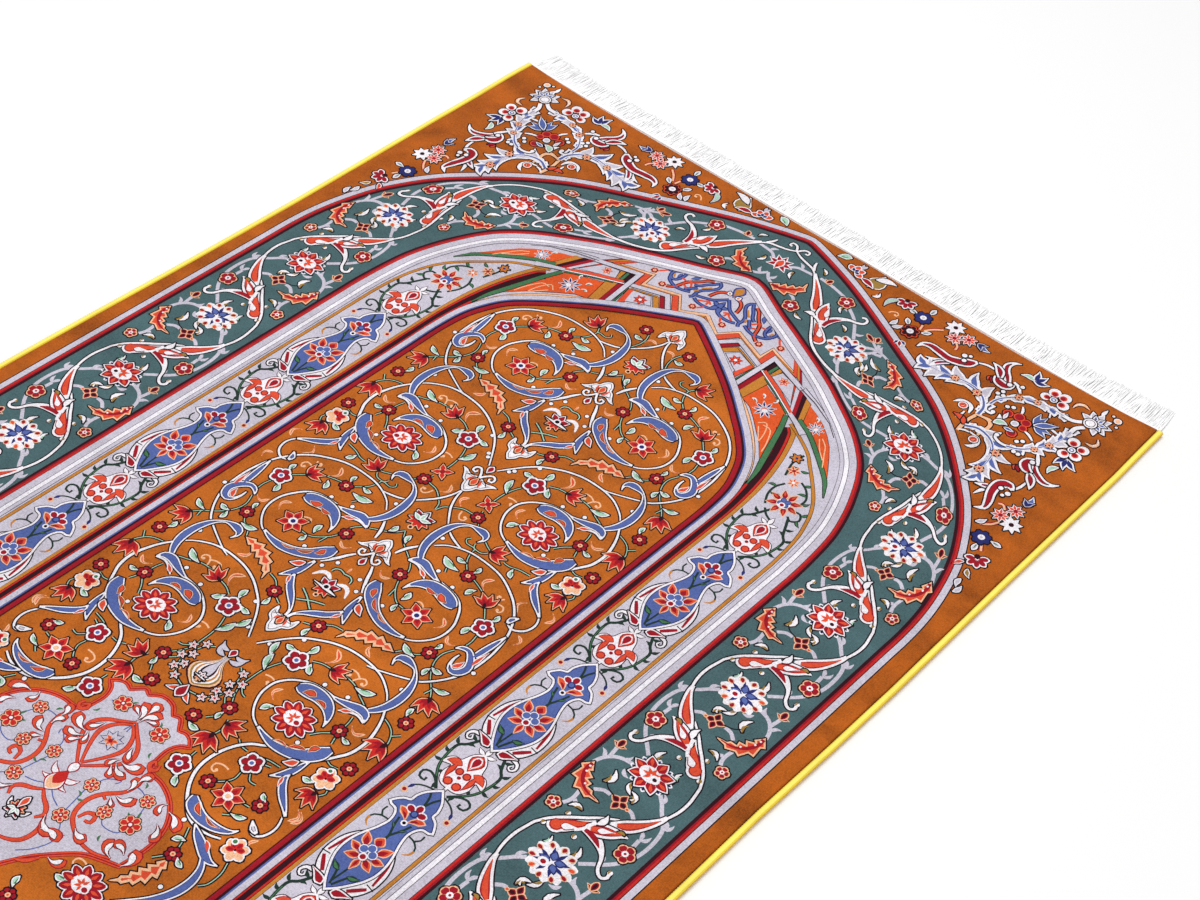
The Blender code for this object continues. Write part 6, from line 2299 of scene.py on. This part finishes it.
def fringe_threads(node, outwards, material, seed):
    """White threads in loose bundles, rooted in a narrow woven strip."""
    random = np.random.default_rng(seed)
    solid = solid_points(node)
    left, right = solid[:, 0].min() + FRINGE_INSET, solid[:, 0].max() - FRINGE_INSET
    columns = np.linspace(left, right, FRINGE_COLUMNS)
    root_line, tip_line = root_and_tip_lines(solid, columns, outwards)

    strip = [(column, (root + reach) * outwards, height)
             for column, root in zip(columns, root_line) for reach, height in STRIP_SECTION]
    points = [np.array(strip)]
    sides = len(STRIP_SECTION)
    faces = joined_rings(len(columns), sides)
    faces += [(0, 3, 2, 1), tuple(len(strip) - sides + side for side in range(sides))]
    total = len(strip)

    share = np.linspace(0.0, 1.0, THREAD_STEPS + 1)
    corner_angles = np.array([0.5, 1.5, 2.5, 3.5]) * np.pi / 2
    for index in range(THREADS):
        at = left + (right - left) * (index + 0.5) / THREADS
        bundle = math.sin(at * 260.0 + seed) * 0.0016 + math.sin(at * 71.0) * 0.0010
        drift = bundle + random.normal(0.0, 0.0009)
        wave = random.normal(0.0, 0.00035)
        root = np.interp(at, columns, root_line) + STRIP_REACH * 0.8
        tip = np.interp(at, columns, tip_line) + random.uniform(-0.0034, 0.0006)
        thick = random.uniform(*THREAD_THICK)
        layer = random.uniform(0.0, 0.0007)
        x = at + drift * share**1.4 + wave * np.sin(share * 6.0 + index)
        x = np.clip(x, left - 0.0008, right + 0.0008)
        y = root + (tip - root) * share
        z = thick + layer * np.sin(np.pi * np.minimum(share * 0.9 + 0.1, 1.0)) + 0.0010 * (1.0 - share) ** 2
        size = thick * np.where(share > TIP_FROM, TIP_THIN, 1.0)
        for step in range(THREAD_STEPS + 1):
            points.append(np.stack([
                x[step] + size[step] * np.cos(corner_angles), np.full(THREAD_SIDES, y[step] * outwards),
                np.maximum(z[step] + size[step] * np.sin(corner_angles), FLOOR_GAP),
            ], axis=1))
        faces += [(a, d, c, b) for a, b, c, d in joined_rings(THREAD_STEPS + 1, THREAD_SIDES, total)]
        last = total + THREAD_STEPS * THREAD_SIDES
        faces += [(total, total + 1, total + 2, total + 3), (last + 3, last + 2, last + 1, last)]
        total = last + THREAD_SIDES
    if outwards < 0:
        faces = [face[::-1] for face in faces]
    piece = make_piece(node + "_threads", np.vstack(points), faces, [material])
    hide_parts(node)
    return piece


# ---------------------------------------------------------------- putting it together


def whole_chart():
    """The design from its frame to its medallion."""
    chart = Chart()
    for part in (framework, border, cartouche_band, muqarnas, spandrels, field, medallion):
        part(chart)
    return chart


# One overcast yarn in three lit and shaded copies: pale is a painted highlight, yellow is half shade, golden
# is painted shade.
SIDE_YARN_PAINTED_LIGHT = {"golden": (226, 176, 52), "yellow": (244, 214, 62), "pale": (255, 240, 112)}
SIDE_LEAN = 0.55  # turns by which the wound yarn leans, the other way on the other side


def build_rug():
    """All pieces of the rug."""
    backing = yarn_material("woven_backing", (214, 190, 158), (500.0, 1100.0, 300.0), 0.35, 0.0003)
    ground = pile_ground(pile_material("amber"), backing)
    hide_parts("rug_body")
    for dye, mesh in sorted(lay_pattern(whole_chart()).items()):
        material = bpy.data.materials.get(dye + "_pile") or pile_material(dye)
        piece = make_piece(dye + "_pattern", np.vstack(mesh.points), mesh.faces, [material])
    yarns = []
    # Lit and shaded copies of the one overcast yarn, for the painted light round the cords.
    for name, colour in SIDE_YARN_PAINTED_LIGHT.items():
        yarns.append(yarn_material(name + "_overcast_yarn_painted_light", colour, (300.0, 1500.0, 300.0), 0.30, 0.0002))
    white = yarn_material("white_fringe_yarn", (255, 254, 255), (1800.0, 160.0, 900.0), 0.10, 0.0002)
    sides = [bound_side("selvedge_left", yarns, SIDE_LEAN), bound_side("selvedge_right", yarns, -SIDE_LEAN)]
    fringes = [fringe_threads("fringe_head", 1.0, white, 3), fringe_threads("fringe_foot", -1.0, white, 8)]


# ---------------------------------------------------------------- camera, floor and light

FOCAL_PIXELS = 2128.4  # of a view 1200 by 900 pixels
IMAGE_WIDTH = 1200
CAMERA_UV = (1.0875, 1.8216)  # the charted place under it
CAMERA_UP = 1.6523  # rug widths above the pile
VIEW_FORWARD = (-0.43430, 0.56658, -0.70027)
VIEW_UPWARD = (-0.50701, 0.48881, 0.70993)
FLOOR_HALF = 6.0
FLOOR_DROP = 0.0002  # under the rug, so that the two don't flicker


def photo_camera():
    """The camera at the photo's view."""
    data = bpy.data.cameras.new("photo_view")
    data.sensor_width = 36.0
    data.lens = FOCAL_PIXELS / IMAGE_WIDTH * data.sensor_width
    data.dof.use_dof = False
    camera = bpy.data.objects.new("photo_view", data)
    bpy.context.collection.objects.link(camera)
    forward = Vector(VIEW_FORWARD).normalized()
    right = forward.cross(Vector(VIEW_UPWARD)).normalized()
    upward = right.cross(forward)
    place = Vector((MIDDLE_X + CAMERA_UV[0] * RUG_WIDTH, HEAD_Y - CAMERA_UV[1] * RUG_WIDTH,
                    CLOTH_TOP + CAMERA_UP * RUG_WIDTH))
    turned = Matrix((right, upward, -forward)).transposed().to_4x4()
    camera.matrix_world = Matrix.Translation(place) @ turned
    bpy.context.scene.camera = camera


def pale_floor():
    """A plain pale floor under the rug."""
    mesh = bpy.data.meshes.new("floor")
    corners = [(x * FLOOR_HALF, y * FLOOR_HALF, 0) for x, y in ((-1, -1), (1, -1), (1, 1), (-1, 1))]
    mesh.from_pydata(corners, [], [(0, 1, 2, 3)])
    material = bpy.data.materials.new("pale_floor")
    material.use_nodes = True
    shader = material.node_tree.nodes["Principled BSDF"]
    shader.inputs["Base Color"].default_value = (0.94, 0.94, 0.94, 1.0)
    shader.inputs["Roughness"].default_value = 0.9
    mesh.materials.append(material)
    floor = bpy.data.objects.new("floor", mesh)
    floor.location.z = -FLOOR_DROP
    bpy.context.collection.objects.link(floor)


def soft_lamp(name, place, size, power):
    """A round area lamp that points at the rug's middle."""
    data = bpy.data.lights.new(name, "AREA")
    data.shape = "DISK"
    data.size = size
    data.energy = power
    lamp = bpy.data.objects.new(name, data)
    lamp.location = place
    lamp.rotation_euler = (-Vector(place)).to_track_quat("-Z", "Y").to_euler()
    bpy.context.collection.objects.link(lamp)


def studio_light():
    """Two soft lamps and an even white surround."""
    soft_lamp("overhead", (-0.5, 0.6, 2.6), 2.2, 46.0)
    soft_lamp("side_fill", (1.9, -1.4, 1.7), 1.6, 15.0)
    world = bpy.data.worlds.new("studio")
    world.use_nodes = True
    background = world.node_tree.nodes["Background"]
    background.inputs["Color"].default_value = (1.0, 1.0, 1.0, 1.0)
    background.inputs["Strength"].default_value = 0.48
    bpy.context.scene.world = world
    bpy.context.scene.view_settings.view_transform = "Standard"


photo_camera()
build_rug()
pale_floor()
studio_light()
